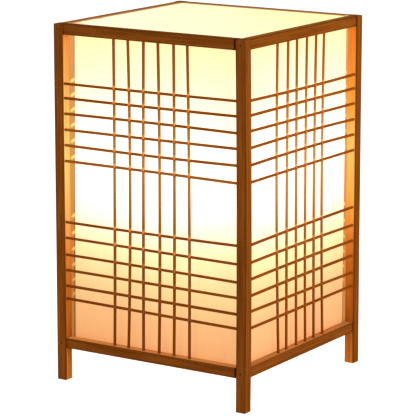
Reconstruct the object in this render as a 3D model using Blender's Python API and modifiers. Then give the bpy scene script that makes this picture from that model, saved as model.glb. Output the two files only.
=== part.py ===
"""Square wooden lantern lamp with stick lattices, film panels and a screw-in bulb.

Metres, +Z up. The origin is on the floor below the middle of the lamp, and the front faces -Y.
Everything on a side is built as for the front and turned about Z by that side's empty.
"""
import math

import bmesh
import bpy
from mathutils import Matrix, Vector

# Frame
WIDTH = 0.250
HEIGHT = 0.4075
LEG_HEIGHT = 0.0377
POST_SIZE = 0.012
RAIL_HEIGHT = 0.012
RAIL_SETBACK = 0.0015
ARRIS = 0.0004

# Joinery
GAP = 0.0003
TENON_LENGTH = 0.0025
TENON_THICKNESS = 0.0045
TENON_HEIGHT = 0.007
PIN_RADIUS = 0.001
PIN_LENGTH = 0.022

# Lattice: the pitch of the horizontal sticks narrows from the middle of the lamp to its ends
STICK_SIZE = 0.0024
STICK_SETBACK = 0.0017
STICK_LAP = 0.0004
STICK_TENON = 0.002
VERTICAL_COUNT = 6
VERTICAL_PITCH = 0.0197
GROUP_COUNT = 6
UPPER_DROP = 0.055
UPPER_PITCH_OUTER = 0.0163
UPPER_PITCH_INNER = 0.0188
LOWER_RISE = 0.0437
LOWER_PITCH_OUTER = 0.017
LOWER_PITCH_INNER = 0.0196

# Film and top panel
FILM_THICKNESS = 0.0008
FILM_LAP = 0.004
FILM_CLEARANCE = 0.001
BATTEN_SIZE = 0.006
PANEL_THICKNESS = 0.0015
PANEL_RECESS = 0.001
PANEL_CLEARANCE = 0.0005

# Crossbar and riser tube
CROSSBAR_WIDTH = 0.030
CROSSBAR_THICKNESS = 0.006
CROSSBAR_RISE = 0.0005
CROSSBAR_TENON_WIDTH = 0.022
CROSSBAR_TENON_THICKNESS = 0.004
TUBE_RADIUS = 0.005
TUBE_BORE = 0.0035
TUBE_TAIL = 0.0025
TUBE_SEAT = 0.012
RISER_HEIGHT = 0.046
NUT_RADIUS = 0.0095
NUT_THICKNESS = 0.005
WASHER_RADIUS = 0.011
WASHER_THICKNESS = 0.001
BUSH_FLANGE_RADIUS = 0.007
BUSH_FLANGE_THICKNESS = 0.002
BUSH_SPIGOT = 0.006
BUSH_BORE = 0.002

# Lampholder, worked outwards from the bulb's screw cap
CAP_RADIUS = 0.0131
THREAD_CLEARANCE = 0.0005
SHELL_WALL = 0.0008
SHELL_HEIGHT = 0.021
SHELL_SEAT = 0.009
HOLDER_AIR = 0.0008
HOLDER_WALL = 0.0025
HOLDER_HEIGHT = 0.040
HOLDER_CAP_RADIUS = 0.017
HOLDER_CAP_WALL = 0.0025
HOLDER_CAP_HEIGHT = 0.026
HOLDER_CAP_FLARE = 0.016
HOLDER_NECK_RADIUS = 0.008
HOLDER_NECK_HEIGHT = 0.010
HOLDER_SKIRT = 0.0097
INSERT_THICKNESS = 0.0024
INSERT_BOSS_RADIUS = 0.010
INSERT_BOSS_HEIGHT = 0.006
LEAF_THICKNESS = 0.0005
LEAF_WIDTH = 0.004
LEAF_REACH = 0.005
LEAF_RISE = 0.004

# Bulb, heights counted from the tip of its centre contact
CONTACT_RADIUS = 0.004
CONTACT_HEIGHT = 0.0012
INSULATOR_RADIUS = 0.005
INSULATOR_FLANGE = 0.0016
CAP_WALL = 0.0008
CAP_LIP_RADIUS = 0.0093
CAP_LIP_HEIGHT = 0.0055
CAP_CHAMFER = 0.0018
CAP_HEIGHT = 0.0225
HOUSING_SPIGOT = 0.008
HOUSING_WALL = 0.0025
HOUSING_COLLAR = 0.004
HOUSING_HEIGHT = 0.034
BOARD_RADIUS = 0.0252
BOARD_THICKNESS = 0.0016
BOARD_LEDGE = 0.0021
DIFFUSER_RADIUS = 0.030
DIFFUSER_RIM_RADIUS = 0.0285
DIFFUSER_WALL = 0.0012

# Fineness of round pieces
ROUND_STEPS = 20
SMALL_STEPS = 16
PIN_STEPS = 12
DOME_STEPS = 7
MERGE_DISTANCE = 0.00001
CUT_MARGIN = 0.001

SIDES = ("front", "right", "back", "left")
PINNED_SIDES = ("right", "left")
CROSSBAR_SIDES = ("right", "left")
CORNERS = ("front_right", "back_right", "back_left", "front_left")

# Places worked out from the sizes above
HALF_INSIDE = WIDTH / 2 - POST_SIZE
TOP_RAIL_LOW = HEIGHT - RAIL_HEIGHT
BOTTOM_RAIL_HIGH = LEG_HEIGHT + RAIL_HEIGHT
RAIL_LEVELS = {"top": TOP_RAIL_LOW, "bottom": LEG_HEIGHT}
POST_AXIS = WIDTH / 2 - POST_SIZE / 2
STICK_Y = -WIDTH / 2 + STICK_SETBACK + STICK_SIZE / 2
UPRIGHT_Y = STICK_Y + STICK_SIZE - STICK_LAP
CROSSBAR_LOW = LEG_HEIGHT + CROSSBAR_RISE
CROSSBAR_HIGH = CROSSBAR_LOW + CROSSBAR_THICKNESS
FILM_LOW = CROSSBAR_HIGH + FILM_CLEARANCE
FILM_HIGH = TOP_RAIL_LOW + FILM_LAP
FILM_INSIDE = HALF_INSIDE - GAP - FILM_THICKNESS - GAP
PANEL_LOW = HEIGHT - PANEL_RECESS - PANEL_THICKNESS
HOLDER_BASE = CROSSBAR_HIGH + 2 * GAP + WASHER_THICKNESS + NUT_THICKNESS + RISER_HEIGHT
INSERT_LOW = HOLDER_CAP_HEIGHT + GAP
INSERT_HIGH = INSERT_LOW + INSERT_THICKNESS
LEAF_LOW = INSERT_HIGH + GAP
BULB_SEAT = HOLDER_BASE + LEAF_LOW + LEAF_RISE + LEAF_THICKNESS + GAP


def clear_scene():
    for obj in list(bpy.data.objects):
        bpy.data.objects.remove(obj, do_unlink=True)


def new_collection(name):
    collection = bpy.data.collections.new(name)
    bpy.context.scene.collection.children.link(collection)
    return collection


def new_material(name, colour, roughness, metallic=0.0):
    material = bpy.data.materials.new(name)
    material.use_nodes = True
    shader = material.node_tree.nodes["Principled BSDF"]
    shader.inputs["Base Color"].default_value = (*colour, 1.0)
    shader.inputs["Roughness"].default_value = roughness
    shader.inputs["Metallic"].default_value = metallic
    return material


def new_empty(name, location=(0, 0, 0), turn=0.0):
    empty = bpy.data.objects.new(name, None)
    empty.location = location
    empty.rotation_euler.z = turn
    PARTS.objects.link(empty)
    return empty


def add_part(name, data, material, parent):
    obj = bpy.data.objects.new(name, data)
    obj.data.materials.append(material)
    obj.parent = parent
    PARTS.objects.link(obj)
    return obj


def add_tool(name, mesh, parent):
    """A cutter, or a shape that is joined to a part. It isn't a part by itself."""
    obj = bpy.data.objects.new(name, mesh)
    obj.parent = parent
    obj.hide_render = True
    obj.display_type = "WIRE"
    TOOLS.objects.link(obj)
    return obj


def box_mesh(name, boxes):
    """A mesh of boxes, each given by its lowest and highest corner."""
    bm = bmesh.new()
    for low, high in boxes:
        low, high = Vector(low), Vector(high)
        place = Matrix.Translation((low + high) / 2) @ Matrix.Diagonal((*(high - low), 1.0))
        bmesh.ops.create_cube(bm, size=1.0, matrix=place)
    mesh = bpy.data.meshes.new(name)
    bm.to_mesh(mesh)
    bm.free()
    return mesh


def rod_mesh(name, rods, radius, steps):
    """A mesh of round rods, each given by its two end points."""
    bm = bmesh.new()
    for start, end in rods:
        start, end = Vector(start), Vector(end)
        along = end - start
        turn = along.to_track_quat("Z", "Y").to_matrix().to_4x4()
        bmesh.ops.create_cone(bm, cap_ends=True, segments=steps, radius1=radius, radius2=radius,
                              depth=along.length, matrix=Matrix.Translation((start + end) / 2) @ turn)
    mesh = bpy.data.meshes.new(name)
    bm.to_mesh(mesh)
    bm.free()
    mesh.shade_smooth()
    mesh.set_sharp_from_angle(angle=math.radians(40))
    return mesh


def round_edges(obj, width):
    bevel = obj.modifiers.new("Arris", "BEVEL")
    bevel.width = width
    bevel.segments = 1


def combine(obj, tool, operation):
    boolean = obj.modifiers.new(tool.name, "BOOLEAN")
    boolean.operation = operation
    boolean.solver = "EXACT"
    boolean.use_self = True
    boolean.object = tool


def turned(name, profile, material, parent, closed=False, steps=ROUND_STEPS, height=0.0):
    """A piece turned about Z from (radius, height) points that run down its outer side."""
    bm = bmesh.new()
    points = [bm.verts.new((radius, 0, level)) for radius, level in profile]
    for start, end in zip(points, points[1:]):
        bm.edges.new((start, end))
    if closed:
        bm.edges.new((points[-1], points[0]))
    mesh = bpy.data.meshes.new(name)
    bm.to_mesh(mesh)
    bm.free()
    obj = add_part(name, mesh, material, parent)
    obj.location.z = height
    screw = obj.modifiers.new("Turn", "SCREW")
    screw.steps = steps
    screw.render_steps = steps
    screw.use_merge_vertices = True
    screw.merge_threshold = MERGE_DISTANCE
    screw.use_smooth_shade = True
    return obj


def ring(name, inner, outer, thickness, material, parent, height):
    profile = [(outer, thickness), (outer, 0), (inner, 0), (inner, thickness)]
    return turned(name, profile, material, parent, closed=True, steps=SMALL_STEPS, height=height)


def spread(count, pitch):
    """Places of count things in a row, evenly about zero."""
    return [(i - (count - 1) / 2) * pitch for i in range(count)]


def group_levels(first, outer_pitch, inner_pitch, direction):
    """Heights of one group of sticks, from its outer end towards the middle of the lamp."""
    levels = [first]
    steps = GROUP_COUNT - 1
    for i in range(steps):
        share = i / max(steps - 1, 1)
        levels.append(levels[-1] + direction * (outer_pitch + share * (inner_pitch - outer_pitch)))
    return levels


def stick_levels():
    upper = group_levels(TOP_RAIL_LOW - UPPER_DROP, UPPER_PITCH_OUTER, UPPER_PITCH_INNER, -1)
    lower = group_levels(BOTTOM_RAIL_HIGH + LOWER_RISE, LOWER_PITCH_OUTER, LOWER_PITCH_INNER, 1)
    return upper + lower


def level_sticks(reach, spare=0.0):
    """Boxes of a side's horizontal sticks from x = -reach to reach, spare wider all round."""
    half = STICK_SIZE / 2 + spare
    return [((-reach, STICK_Y - half, level - half), (reach, STICK_Y + half, level + half))
            for level in stick_levels()]


def upright_sticks(low, high, spare=0.0):
    """Boxes of a side's vertical sticks from one height to another, spare wider all round."""
    half = STICK_SIZE / 2 + spare
    return [((x - half, UPRIGHT_Y - half, low), (x + half, UPRIGHT_Y + half, high))
            for x in spread(VERTICAL_COUNT, VERTICAL_PITCH)]


def rail_tenon(level, reach, spare=0.0):
    """Box through a rail's two tenons, centred on the post axis."""
    middle = level + RAIL_HEIGHT / 2
    depth = TENON_THICKNESS / 2 + spare
    rise = TENON_HEIGHT / 2 + spare
    return (-reach, -POST_AXIS - depth, middle - rise), (reach, -POST_AXIS + depth, middle + rise)


def rail_pin(level, end, length, start=0.0):
    """End points of the pin that runs through a post into a rail's end, along X."""
    middle = level + RAIL_HEIGHT / 2
    face = WIDTH / 2
    return (end * (face + start), -POST_AXIS, middle), (end * (face - length), -POST_AXIS, middle)


def build_rail(side, name, level):
    empty = SIDE_EMPTIES[side]
    half = HALF_INSIDE - GAP
    low = (-half, -WIDTH / 2 + RAIL_SETBACK, level)
    high = (half, -HALF_INSIDE, level + RAIL_HEIGHT)
    rail = add_part(f"{name}_rail_{side}", box_mesh(name, [(low, high)]), WOOD, empty)
    round_edges(rail, ARRIS)
    tenons = box_mesh("tenons", [rail_tenon(level, HALF_INSIDE + TENON_LENGTH)])
    combine(rail, add_tool(f"{name}_tenons_{side}", tenons, empty), "UNION")
    if name == "top":
        sockets = upright_sticks(level - CUT_MARGIN, level + STICK_TENON + GAP, GAP)
    else:
        top = level + RAIL_HEIGHT
        sockets = upright_sticks(top - STICK_TENON - GAP, top + CUT_MARGIN, GAP)
    combine(rail, add_tool(f"{name}_sockets_{side}", box_mesh("sockets", sockets), empty), "DIFFERENCE")
    if side in PINNED_SIDES:
        rods = [rail_pin(level, end, PIN_LENGTH + GAP) for end in (-1, 1)]
        bores = rod_mesh("bores", rods, PIN_RADIUS + GAP, PIN_STEPS)
        combine(rail, add_tool(f"{name}_bores_{side}", bores, empty), "DIFFERENCE")
    if name == "bottom" and side in CROSSBAR_SIDES:
        mortise = box_mesh("mortise", [crossbar_mortise()])
        combine(rail, add_tool(f"mortise_{side}", mortise, empty), "DIFFERENCE")


def crossbar_mortise():
    """Box cut into a side's bottom rail, from its inner face, for the crossbar's tenon."""
    across = CROSSBAR_TENON_WIDTH / 2 + GAP
    middle = CROSSBAR_LOW + CROSSBAR_THICKNESS / 2
    rise = CROSSBAR_TENON_THICKNESS / 2 + GAP
    deep = -HALF_INSIDE - TENON_LENGTH - GAP
    return (-across, deep, middle - rise), (across, -HALF_INSIDE + CUT_MARGIN, middle + rise)


def build_pins(side):
    for name, level in RAIL_LEVELS.items():
        for end, label in ((-1, "a"), (1, "b")):
            mesh = rod_mesh("pin", [rail_pin(level, end, PIN_LENGTH)], PIN_RADIUS, PIN_STEPS)
            add_part(f"pin_{name}_{side}_{label}", mesh, STEEL, SIDE_EMPTIES[side])


def build_lattice(side):
    empty = SIDE_EMPTIES[side]
    levels = level_sticks(HALF_INSIDE + STICK_TENON)
    uprights = upright_sticks(BOTTOM_RAIL_HIGH - STICK_TENON, TOP_RAIL_LOW + STICK_TENON)
    lattice = add_part(f"lattice_{side}", box_mesh("level_sticks", levels), STICK_WOOD, empty)
    tool = add_tool(f"upright_sticks_{side}", box_mesh("upright_sticks", uprights), empty)
    combine(lattice, tool, "UNION")


def build_film(side):
    """A film panel behind the posts. One end passes the next side's panel, the other stops at it."""
    low = (-HALF_INSIDE + GAP, -HALF_INSIDE + GAP, FILM_LOW)
    high = (FILM_INSIDE, -HALF_INSIDE + GAP + FILM_THICKNESS, FILM_HIGH)
    add_part(f"film_{side}", box_mesh("film", [(low, high)]), FILM, SIDE_EMPTIES[side])


def socket_tool(side, end):
    """Cutter for what one side's lattice and rails let into the post at that end of the side."""
    near = HALF_INSIDE - CUT_MARGIN
    stick_end = HALF_INSIDE + STICK_TENON + GAP
    tenon_end = HALF_INSIDE + TENON_LENGTH + GAP
    boxes = level_sticks(stick_end, GAP)
    boxes += [rail_tenon(level, tenon_end, GAP) for level in RAIL_LEVELS.values()]
    cuts = []
    for low, high in boxes:
        across = sorted((end * near, end * high[0]))
        cuts.append(((across[0], low[1], low[2]), (across[1], high[1], high[2])))
    return add_tool(f"post_sockets_{side}_{end}", box_mesh("post_sockets", cuts), SIDE_EMPTIES[side])


def pin_tool(side, end):
    rods = [rail_pin(level, end, POST_SIZE + CUT_MARGIN, CUT_MARGIN) for level in RAIL_LEVELS.values()]
    mesh = rod_mesh("post_bores", rods, PIN_RADIUS + GAP, PIN_STEPS)
    return add_tool(f"post_bores_{side}_{end}", mesh, SIDE_EMPTIES[side])


def build_post(index):
    """The post at the right-hand end of one side, which is the left-hand end of the next."""
    side = SIDES[index]
    following = SIDES[(index + 1) % len(SIDES)]
    low = (WIDTH / 2 - POST_SIZE, -WIDTH / 2, 0)
    high = (WIDTH / 2, -WIDTH / 2 + POST_SIZE, HEIGHT)
    mesh = box_mesh("post", [(low, high)])
    post = add_part(f"post_{CORNERS[index]}", mesh, WOOD, SIDE_EMPTIES[side])
    round_edges(post, ARRIS)
    combine(post, socket_tool(side, 1), "DIFFERENCE")
    combine(post, socket_tool(following, -1), "DIFFERENCE")
    pinned = pin_tool(side, 1) if side in PINNED_SIDES else pin_tool(following, -1)
    combine(post, pinned, "DIFFERENCE")


def build_batten(index):
    inner = FILM_INSIDE - BATTEN_SIZE
    low = (inner, -FILM_INSIDE, CROSSBAR_LOW)
    high = (FILM_INSIDE, -inner, PANEL_LOW - GAP)
    mesh = box_mesh("batten", [(low, high)])
    add_part(f"batten_{CORNERS[index]}", mesh, STICK_WOOD, SIDE_EMPTIES[SIDES[index]])


def build_top_panel():
    half = HALF_INSIDE - PANEL_CLEARANCE
    mesh = box_mesh("top_panel", [((-half, -half, 0), (half, half, PANEL_THICKNESS))])
    add_part("top_panel", mesh, FILM, new_empty("top_panel_seat", (0, 0, PANEL_LOW)))


def build_crossbar():
    half = HALF_INSIDE - GAP
    across = CROSSBAR_WIDTH / 2
    body = [((-half, -across, CROSSBAR_LOW), (half, across, CROSSBAR_HIGH))]
    bar = add_part("crossbar", box_mesh("crossbar", body), STICK_WOOD, None)
    reach = HALF_INSIDE + TENON_LENGTH
    tongue = CROSSBAR_TENON_WIDTH / 2
    middle = (CROSSBAR_LOW + CROSSBAR_HIGH) / 2
    rise = CROSSBAR_TENON_THICKNESS / 2
    tenons = box_mesh("crossbar_tenons", [((-reach, -tongue, middle - rise), (reach, tongue, middle + rise))])
    combine(bar, add_tool("crossbar_tenons", tenons, None), "UNION")
    ends = (0, 0, CROSSBAR_LOW - CUT_MARGIN), (0, 0, CROSSBAR_HIGH + CUT_MARGIN)
    hole = rod_mesh("crossbar_hole", [ends], TUBE_RADIUS + GAP, SMALL_STEPS)
    combine(bar, add_tool("crossbar_hole", hole, None), "DIFFERENCE")


def build_nut(name, height):
    """A hexagon nut: a flat outline with a round hole, given its thickness."""
    outline = bpy.data.curves.new(name, "CURVE")
    outline.dimensions = "2D"
    outline.fill_mode = "BOTH"
    outline.extrude = NUT_THICKNESS / 2
    for radius, corners in ((NUT_RADIUS, 6), (TUBE_RADIUS + GAP, SMALL_STEPS)):
        spline = outline.splines.new("POLY")
        spline.points.add(corners - 1)
        for i, point in enumerate(spline.points):
            angle = 2 * math.pi * i / corners
            point.co = (radius * math.cos(angle), radius * math.sin(angle), 0, 1)
        spline.use_cyclic_u = True
    nut = add_part(name, outline, STEEL, None)
    nut.location.z = height + NUT_THICKNESS / 2


def build_riser():
    """Threaded tube through the crossbar, its nuts and washers, and the bush at its lower end."""
    bore = TUBE_RADIUS + GAP
    washer_low = CROSSBAR_LOW - GAP - WASHER_THICKNESS
    nut_low = washer_low - GAP - NUT_THICKNESS
    ring("washer_lower", bore, WASHER_RADIUS, WASHER_THICKNESS, STEEL, None, washer_low)
    build_nut("lock_nut_lower", nut_low)
    ring("washer_upper", bore, WASHER_RADIUS, WASHER_THICKNESS, STEEL, None, CROSSBAR_HIGH + GAP)
    build_nut("lock_nut_upper", CROSSBAR_HIGH + 2 * GAP + WASHER_THICKNESS)
    tube_low = nut_low - TUBE_TAIL
    tube_length = HOLDER_BASE + TUBE_SEAT - tube_low
    ring("riser_tube", TUBE_BORE, TUBE_RADIUS, tube_length, STEEL, None, tube_low)
    flange_high = -GAP
    flange_low = flange_high - BUSH_FLANGE_THICKNESS
    spigot = TUBE_BORE - GAP
    profile = [(spigot, BUSH_SPIGOT), (spigot, flange_high), (BUSH_FLANGE_RADIUS, flange_high),
               (BUSH_FLANGE_RADIUS, flange_low), (BUSH_BORE, flange_low), (BUSH_BORE, BUSH_SPIGOT)]
    turned("inlet_bush", profile, BLACK_PLASTIC, None, closed=True, steps=SMALL_STEPS, height=tube_low)


def build_lampholder():
    """Cap on the riser tube, insert clamped between cap and body, screw shell and contact leaf."""
    seat = new_empty("lampholder_seat", (0, 0, HOLDER_BASE))
    bore = TUBE_RADIUS + GAP
    cap_inside = HOLDER_CAP_RADIUS - HOLDER_CAP_WALL
    cavity_floor = TUBE_SEAT + HOLDER_CAP_WALL
    cap = [(HOLDER_CAP_RADIUS, HOLDER_CAP_HEIGHT), (HOLDER_CAP_RADIUS, HOLDER_CAP_FLARE),
           (HOLDER_NECK_RADIUS, HOLDER_NECK_HEIGHT), (HOLDER_NECK_RADIUS, 0), (bore, 0),
           (bore, cavity_floor), (cap_inside, cavity_floor + HOLDER_CAP_WALL),
           (cap_inside, HOLDER_CAP_HEIGHT)]
    turned("holder_cap", cap, BLACK_PLASTIC, seat, closed=True)

    disc = HOLDER_CAP_RADIUS
    boss_low = INSERT_LOW - INSERT_BOSS_HEIGHT
    insert = [(0, INSERT_HIGH), (disc, INSERT_HIGH), (disc, INSERT_LOW), (INSERT_BOSS_RADIUS, INSERT_LOW),
              (INSERT_BOSS_RADIUS, boss_low), (0, boss_low)]
    turned("holder_insert", insert, CERAMIC, seat)

    shell_inner = CAP_RADIUS + THREAD_CLEARANCE
    shell_outer = shell_inner + SHELL_WALL
    shell_low = INSERT_HIGH + GAP
    shell_high = shell_low + SHELL_HEIGHT
    shell = [(shell_outer, shell_high), (shell_outer, shell_low), (SHELL_SEAT, shell_low),
             (SHELL_SEAT, shell_low + SHELL_WALL), (shell_inner, shell_low + SHELL_WALL),
             (shell_inner, shell_high)]
    turned("holder_screw_shell", shell, BRASS, seat, closed=True)

    bore_wide = HOLDER_CAP_RADIUS + GAP
    bore_narrow = shell_outer + HOLDER_AIR
    outside = max(bore_wide, bore_narrow) + HOLDER_WALL
    skirt_low = HOLDER_CAP_HEIGHT - HOLDER_SKIRT
    shoulder = INSERT_HIGH + GAP
    body_high = skirt_low + HOLDER_HEIGHT
    body = [(outside, body_high), (outside, skirt_low), (bore_wide, skirt_low), (bore_wide, shoulder),
            (bore_narrow, shoulder), (bore_narrow, body_high)]
    turned("holder_body", body, BLACK_PLASTIC, seat, closed=True)

    build_leaf(seat)


def build_leaf(seat):
    """Springy contact leaf: a strip that lies on the insert and folds back up over itself."""
    low = LEAF_LOW + LEAF_THICKNESS / 2
    high = low + LEAF_RISE
    line = [(-LEAF_REACH, low), (LEAF_REACH, low), (LEAF_REACH, low + LEAF_RISE / 2),
            (LEAF_REACH / 2, high), (-LEAF_REACH / 2, high)]
    bm = bmesh.new()
    rows = [[bm.verts.new((x, side * LEAF_WIDTH / 2, z)) for side in (-1, 1)] for x, z in line]
    for first, second in zip(rows, rows[1:]):
        bm.faces.new((first[0], first[1], second[1], second[0]))
    mesh = bpy.data.meshes.new("holder_contact")
    bm.to_mesh(mesh)
    bm.free()
    leaf = add_part("holder_contact", mesh, BRASS, seat)
    solidify = leaf.modifiers.new("Thickness", "SOLIDIFY")
    solidify.thickness = LEAF_THICKNESS
    solidify.offset = 0
    solidify.use_even_offset = True


def arc(radius, centre, start, end, steps):
    """Points (radius, height) on a circle about (0, centre), angles up from level."""
    points = []
    for i in range(steps + 1):
        angle = start + (end - start) * i / steps
        points.append((radius * math.cos(angle), centre + radius * math.sin(angle)))
    return points


def build_bulb():
    """LED bulb on its screw axis, its parts' heights counted from the tip of the centre contact."""
    axis = new_empty("bulb_axis", (0, 0, BULB_SEAT))
    contact_edge = CONTACT_HEIGHT / 2
    contact = [(0, CONTACT_HEIGHT), (CONTACT_RADIUS, CONTACT_HEIGHT), (CONTACT_RADIUS, contact_edge),
               (CONTACT_RADIUS / 2, 0), (0, 0)]
    turned("bulb_contact", contact, BRASS, axis, steps=SMALL_STEPS)

    lip_top = CAP_LIP_HEIGHT + CAP_WALL
    flange_low = lip_top + GAP
    flange = CAP_LIP_RADIUS + CAP_CHAMFER - GAP
    throat = CAP_LIP_RADIUS - GAP
    insulator_low = CONTACT_HEIGHT + GAP
    insulator = [(0, flange_low + INSULATOR_FLANGE), (flange, flange_low + INSULATOR_FLANGE),
                 (flange, flange_low), (throat, flange_low), (throat, CAP_LIP_HEIGHT),
                 (INSULATOR_RADIUS, insulator_low), (0, insulator_low)]
    turned("bulb_insulator", insulator, BLACK_PLASTIC, axis, steps=SMALL_STEPS)

    cap_high = CAP_LIP_HEIGHT + CAP_HEIGHT
    cap_inside = CAP_RADIUS - CAP_WALL
    cap = [(CAP_RADIUS, cap_high), (CAP_RADIUS, CAP_LIP_HEIGHT + CAP_CHAMFER),
           (CAP_RADIUS - CAP_CHAMFER, CAP_LIP_HEIGHT), (CAP_LIP_RADIUS, CAP_LIP_HEIGHT),
           (CAP_LIP_RADIUS, lip_top), (cap_inside - CAP_WALL / 2, lip_top),
           (cap_inside, lip_top + CAP_WALL / 2), (cap_inside, cap_high)]
    turned("bulb_cap", cap, ALUMINIUM, axis, closed=True)

    collar = cap_high + GAP
    rim = collar + HOUSING_HEIGHT
    spigot = cap_inside - GAP
    spigot_inside = spigot - HOUSING_WALL
    recess = BOARD_RADIUS + GAP
    ledge = rim - BOARD_LEDGE
    housing = [(DIFFUSER_RIM_RADIUS, rim), (DIFFUSER_RIM_RADIUS, ledge - BOARD_LEDGE),
               (CAP_RADIUS, collar + HOUSING_COLLAR), (CAP_RADIUS, collar), (spigot, collar),
               (spigot, collar - HOUSING_SPIGOT), (spigot_inside, collar - HOUSING_SPIGOT),
               (spigot_inside, collar + HOUSING_COLLAR), (recess - BOARD_LEDGE, ledge - BOARD_LEDGE),
               (recess - BOARD_LEDGE, ledge), (recess, ledge), (recess, rim)]
    turned("bulb_housing", housing, WHITE_PLASTIC, axis, closed=True)

    board = [(0, BOARD_THICKNESS), (BOARD_RADIUS, BOARD_THICKNESS), (BOARD_RADIUS, 0), (0, 0)]
    turned("bulb_led_board", board, ALUMINIUM, axis, height=ledge + GAP)

    start = rim + GAP
    drop = math.acos(DIFFUSER_RIM_RADIUS / DIFFUSER_RADIUS)
    centre = start + DIFFUSER_RADIUS * math.sin(drop)
    inner = DIFFUSER_RADIUS - DIFFUSER_WALL
    inner_drop = math.asin((centre - start) / inner)
    outside = arc(DIFFUSER_RADIUS, centre, math.pi / 2, -drop, DOME_STEPS)
    inside = arc(inner, centre, -inner_drop, math.pi / 2, DOME_STEPS)
    outside[0] = (0, centre + DIFFUSER_RADIUS)
    inside[-1] = (0, centre + inner)
    turned("bulb_diffuser", outside + inside, OPAL, axis)


clear_scene()
PARTS = new_collection("bedside_lamp")
TOOLS = new_collection("bedside_lamp_tools")
WOOD = new_material("dark_wood", (0.20, 0.075, 0.018), 0.45)
STICK_WOOD = new_material("stick_wood", (0.24, 0.085, 0.020), 0.5)
FILM = new_material("shade_film", (0.95, 0.90, 0.72), 0.6)
STEEL = new_material("dark_steel", (0.16, 0.14, 0.12), 0.4, 1.0)
BRASS = new_material("brass", (0.72, 0.52, 0.22), 0.35, 1.0)
ALUMINIUM = new_material("aluminium", (0.75, 0.75, 0.76), 0.35, 1.0)
CERAMIC = new_material("white_ceramic", (0.86, 0.84, 0.80), 0.35)
BLACK_PLASTIC = new_material("black_plastic", (0.02, 0.02, 0.02), 0.4)
WHITE_PLASTIC = new_material("white_plastic", (0.85, 0.85, 0.83), 0.45)
OPAL = new_material("opal_diffuser", (1.0, 0.93, 0.78), 0.4)

SIDE_EMPTIES = {side: new_empty(f"side_{side}", turn=math.pi / 2 * i) for i, side in enumerate(SIDES)}

for index, side in enumerate(SIDES):
    build_post(index)
    build_batten(index)
    for rail_name, rail_level in RAIL_LEVELS.items():
        build_rail(side, rail_name, rail_level)
    build_lattice(side)
    build_film(side)
for side in PINNED_SIDES:
    build_pins(side)
build_top_panel()
build_crossbar()
build_riser()
build_lampholder()
build_bulb()
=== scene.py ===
"""Dresses a square lattice lamp: stained wood, crooked sticks, glowing film and the fitting inside."""

import functools
import itertools
import math
import random

import bpy
from mathutils import Matrix, Vector, noise


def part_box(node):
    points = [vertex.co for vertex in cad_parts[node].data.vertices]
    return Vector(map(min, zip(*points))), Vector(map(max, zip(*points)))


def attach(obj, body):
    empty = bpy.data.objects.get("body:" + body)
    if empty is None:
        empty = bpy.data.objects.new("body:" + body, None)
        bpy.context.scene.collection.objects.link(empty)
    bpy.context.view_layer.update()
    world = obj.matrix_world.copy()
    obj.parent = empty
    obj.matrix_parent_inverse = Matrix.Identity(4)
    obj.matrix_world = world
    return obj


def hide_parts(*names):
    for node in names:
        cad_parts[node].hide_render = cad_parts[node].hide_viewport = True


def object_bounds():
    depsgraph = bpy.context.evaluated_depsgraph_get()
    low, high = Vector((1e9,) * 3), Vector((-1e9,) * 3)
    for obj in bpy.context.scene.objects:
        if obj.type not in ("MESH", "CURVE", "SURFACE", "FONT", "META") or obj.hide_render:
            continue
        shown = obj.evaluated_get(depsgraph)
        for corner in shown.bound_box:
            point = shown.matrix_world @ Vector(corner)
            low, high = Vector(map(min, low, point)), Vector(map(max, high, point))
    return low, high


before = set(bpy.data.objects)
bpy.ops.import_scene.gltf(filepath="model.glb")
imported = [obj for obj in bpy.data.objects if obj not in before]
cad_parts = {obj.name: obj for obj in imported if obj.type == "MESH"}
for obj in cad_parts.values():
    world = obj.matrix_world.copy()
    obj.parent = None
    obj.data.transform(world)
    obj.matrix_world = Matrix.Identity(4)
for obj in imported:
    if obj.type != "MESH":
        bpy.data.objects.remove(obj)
CAD_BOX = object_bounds()

# Places from the frame: the posts' inner faces, and the window between the rails
HALF_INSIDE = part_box("post_front_right")[0].x
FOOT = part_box("bottom_rail_front")[1].z
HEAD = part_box("top_rail_front")[0].z

# Sides in turn about the vertical axis; each corner is at the right-hand end of its side
SIDES = ("front", "right", "back", "left")
CORNERS = ("front_right", "back_right", "back_left", "front_left")
SIDE_TURNS = {side: Matrix.Rotation(math.pi / 2 * i, 3, "Z") for i, side in enumerate(SIDES)}
RIGHTWARD = Vector((1, 0, 0))
INWARD = Vector((0, 1, 0))
UPWARD = Vector((0, 0, 1))
MILLIMETRE = 0.001
SEED = 20
LATTICE_SEED = 30
SHARP_ANGLE = math.radians(40)

# Wood sections
POST_ROUND = 0.0005
RAIL_ROUND = 0.0006
SLAT_ROUND = 0.0005
STICK_ROUND = 0.0005
EDGE_SUPPORT = 0.0016
EDGE_DARK_LEAST = 0.6
CORNER_STEPS = 3
END_CHAMFER = 0.0005
STICK_END_CHAMFER = 0.0002
RING_STEP = 0.012
RAIL_END_GAP = 0.0001
JOINT_FADE = 0.0004
JOINT_REACH = 0.0036
JOINT_RINGS = (0.0018, 0.0036)
# Painted shade at the ends of the rails, where they meet the posts, as shares at start and end by side
JOINT_SHADES = {"front": (0.1, 1.0), "right": (0.35, 0.1)}
JOINT_SHADE = 0.35
TOP_LIGHT = {"front": 0.0, "right": 0.55, "back": 0.60, "left": 0.63}
WOBBLE = 0.0001
WOBBLE_RATE = 9.0
GRAIN_SPREAD = 40.0

# Bow of the posts in millimetres along one level line, at head, middle and foot
BOW_WAY = Vector((0.84, 0.54, 0))
POST_BOWS = {"front_right": (-0.3, 1.4, 1.0), "front_left": (0, -0.3, -0.7), "back_right": (0, 0.2, 0.9)}
STRAIGHT = (0, 0, 0)

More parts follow.
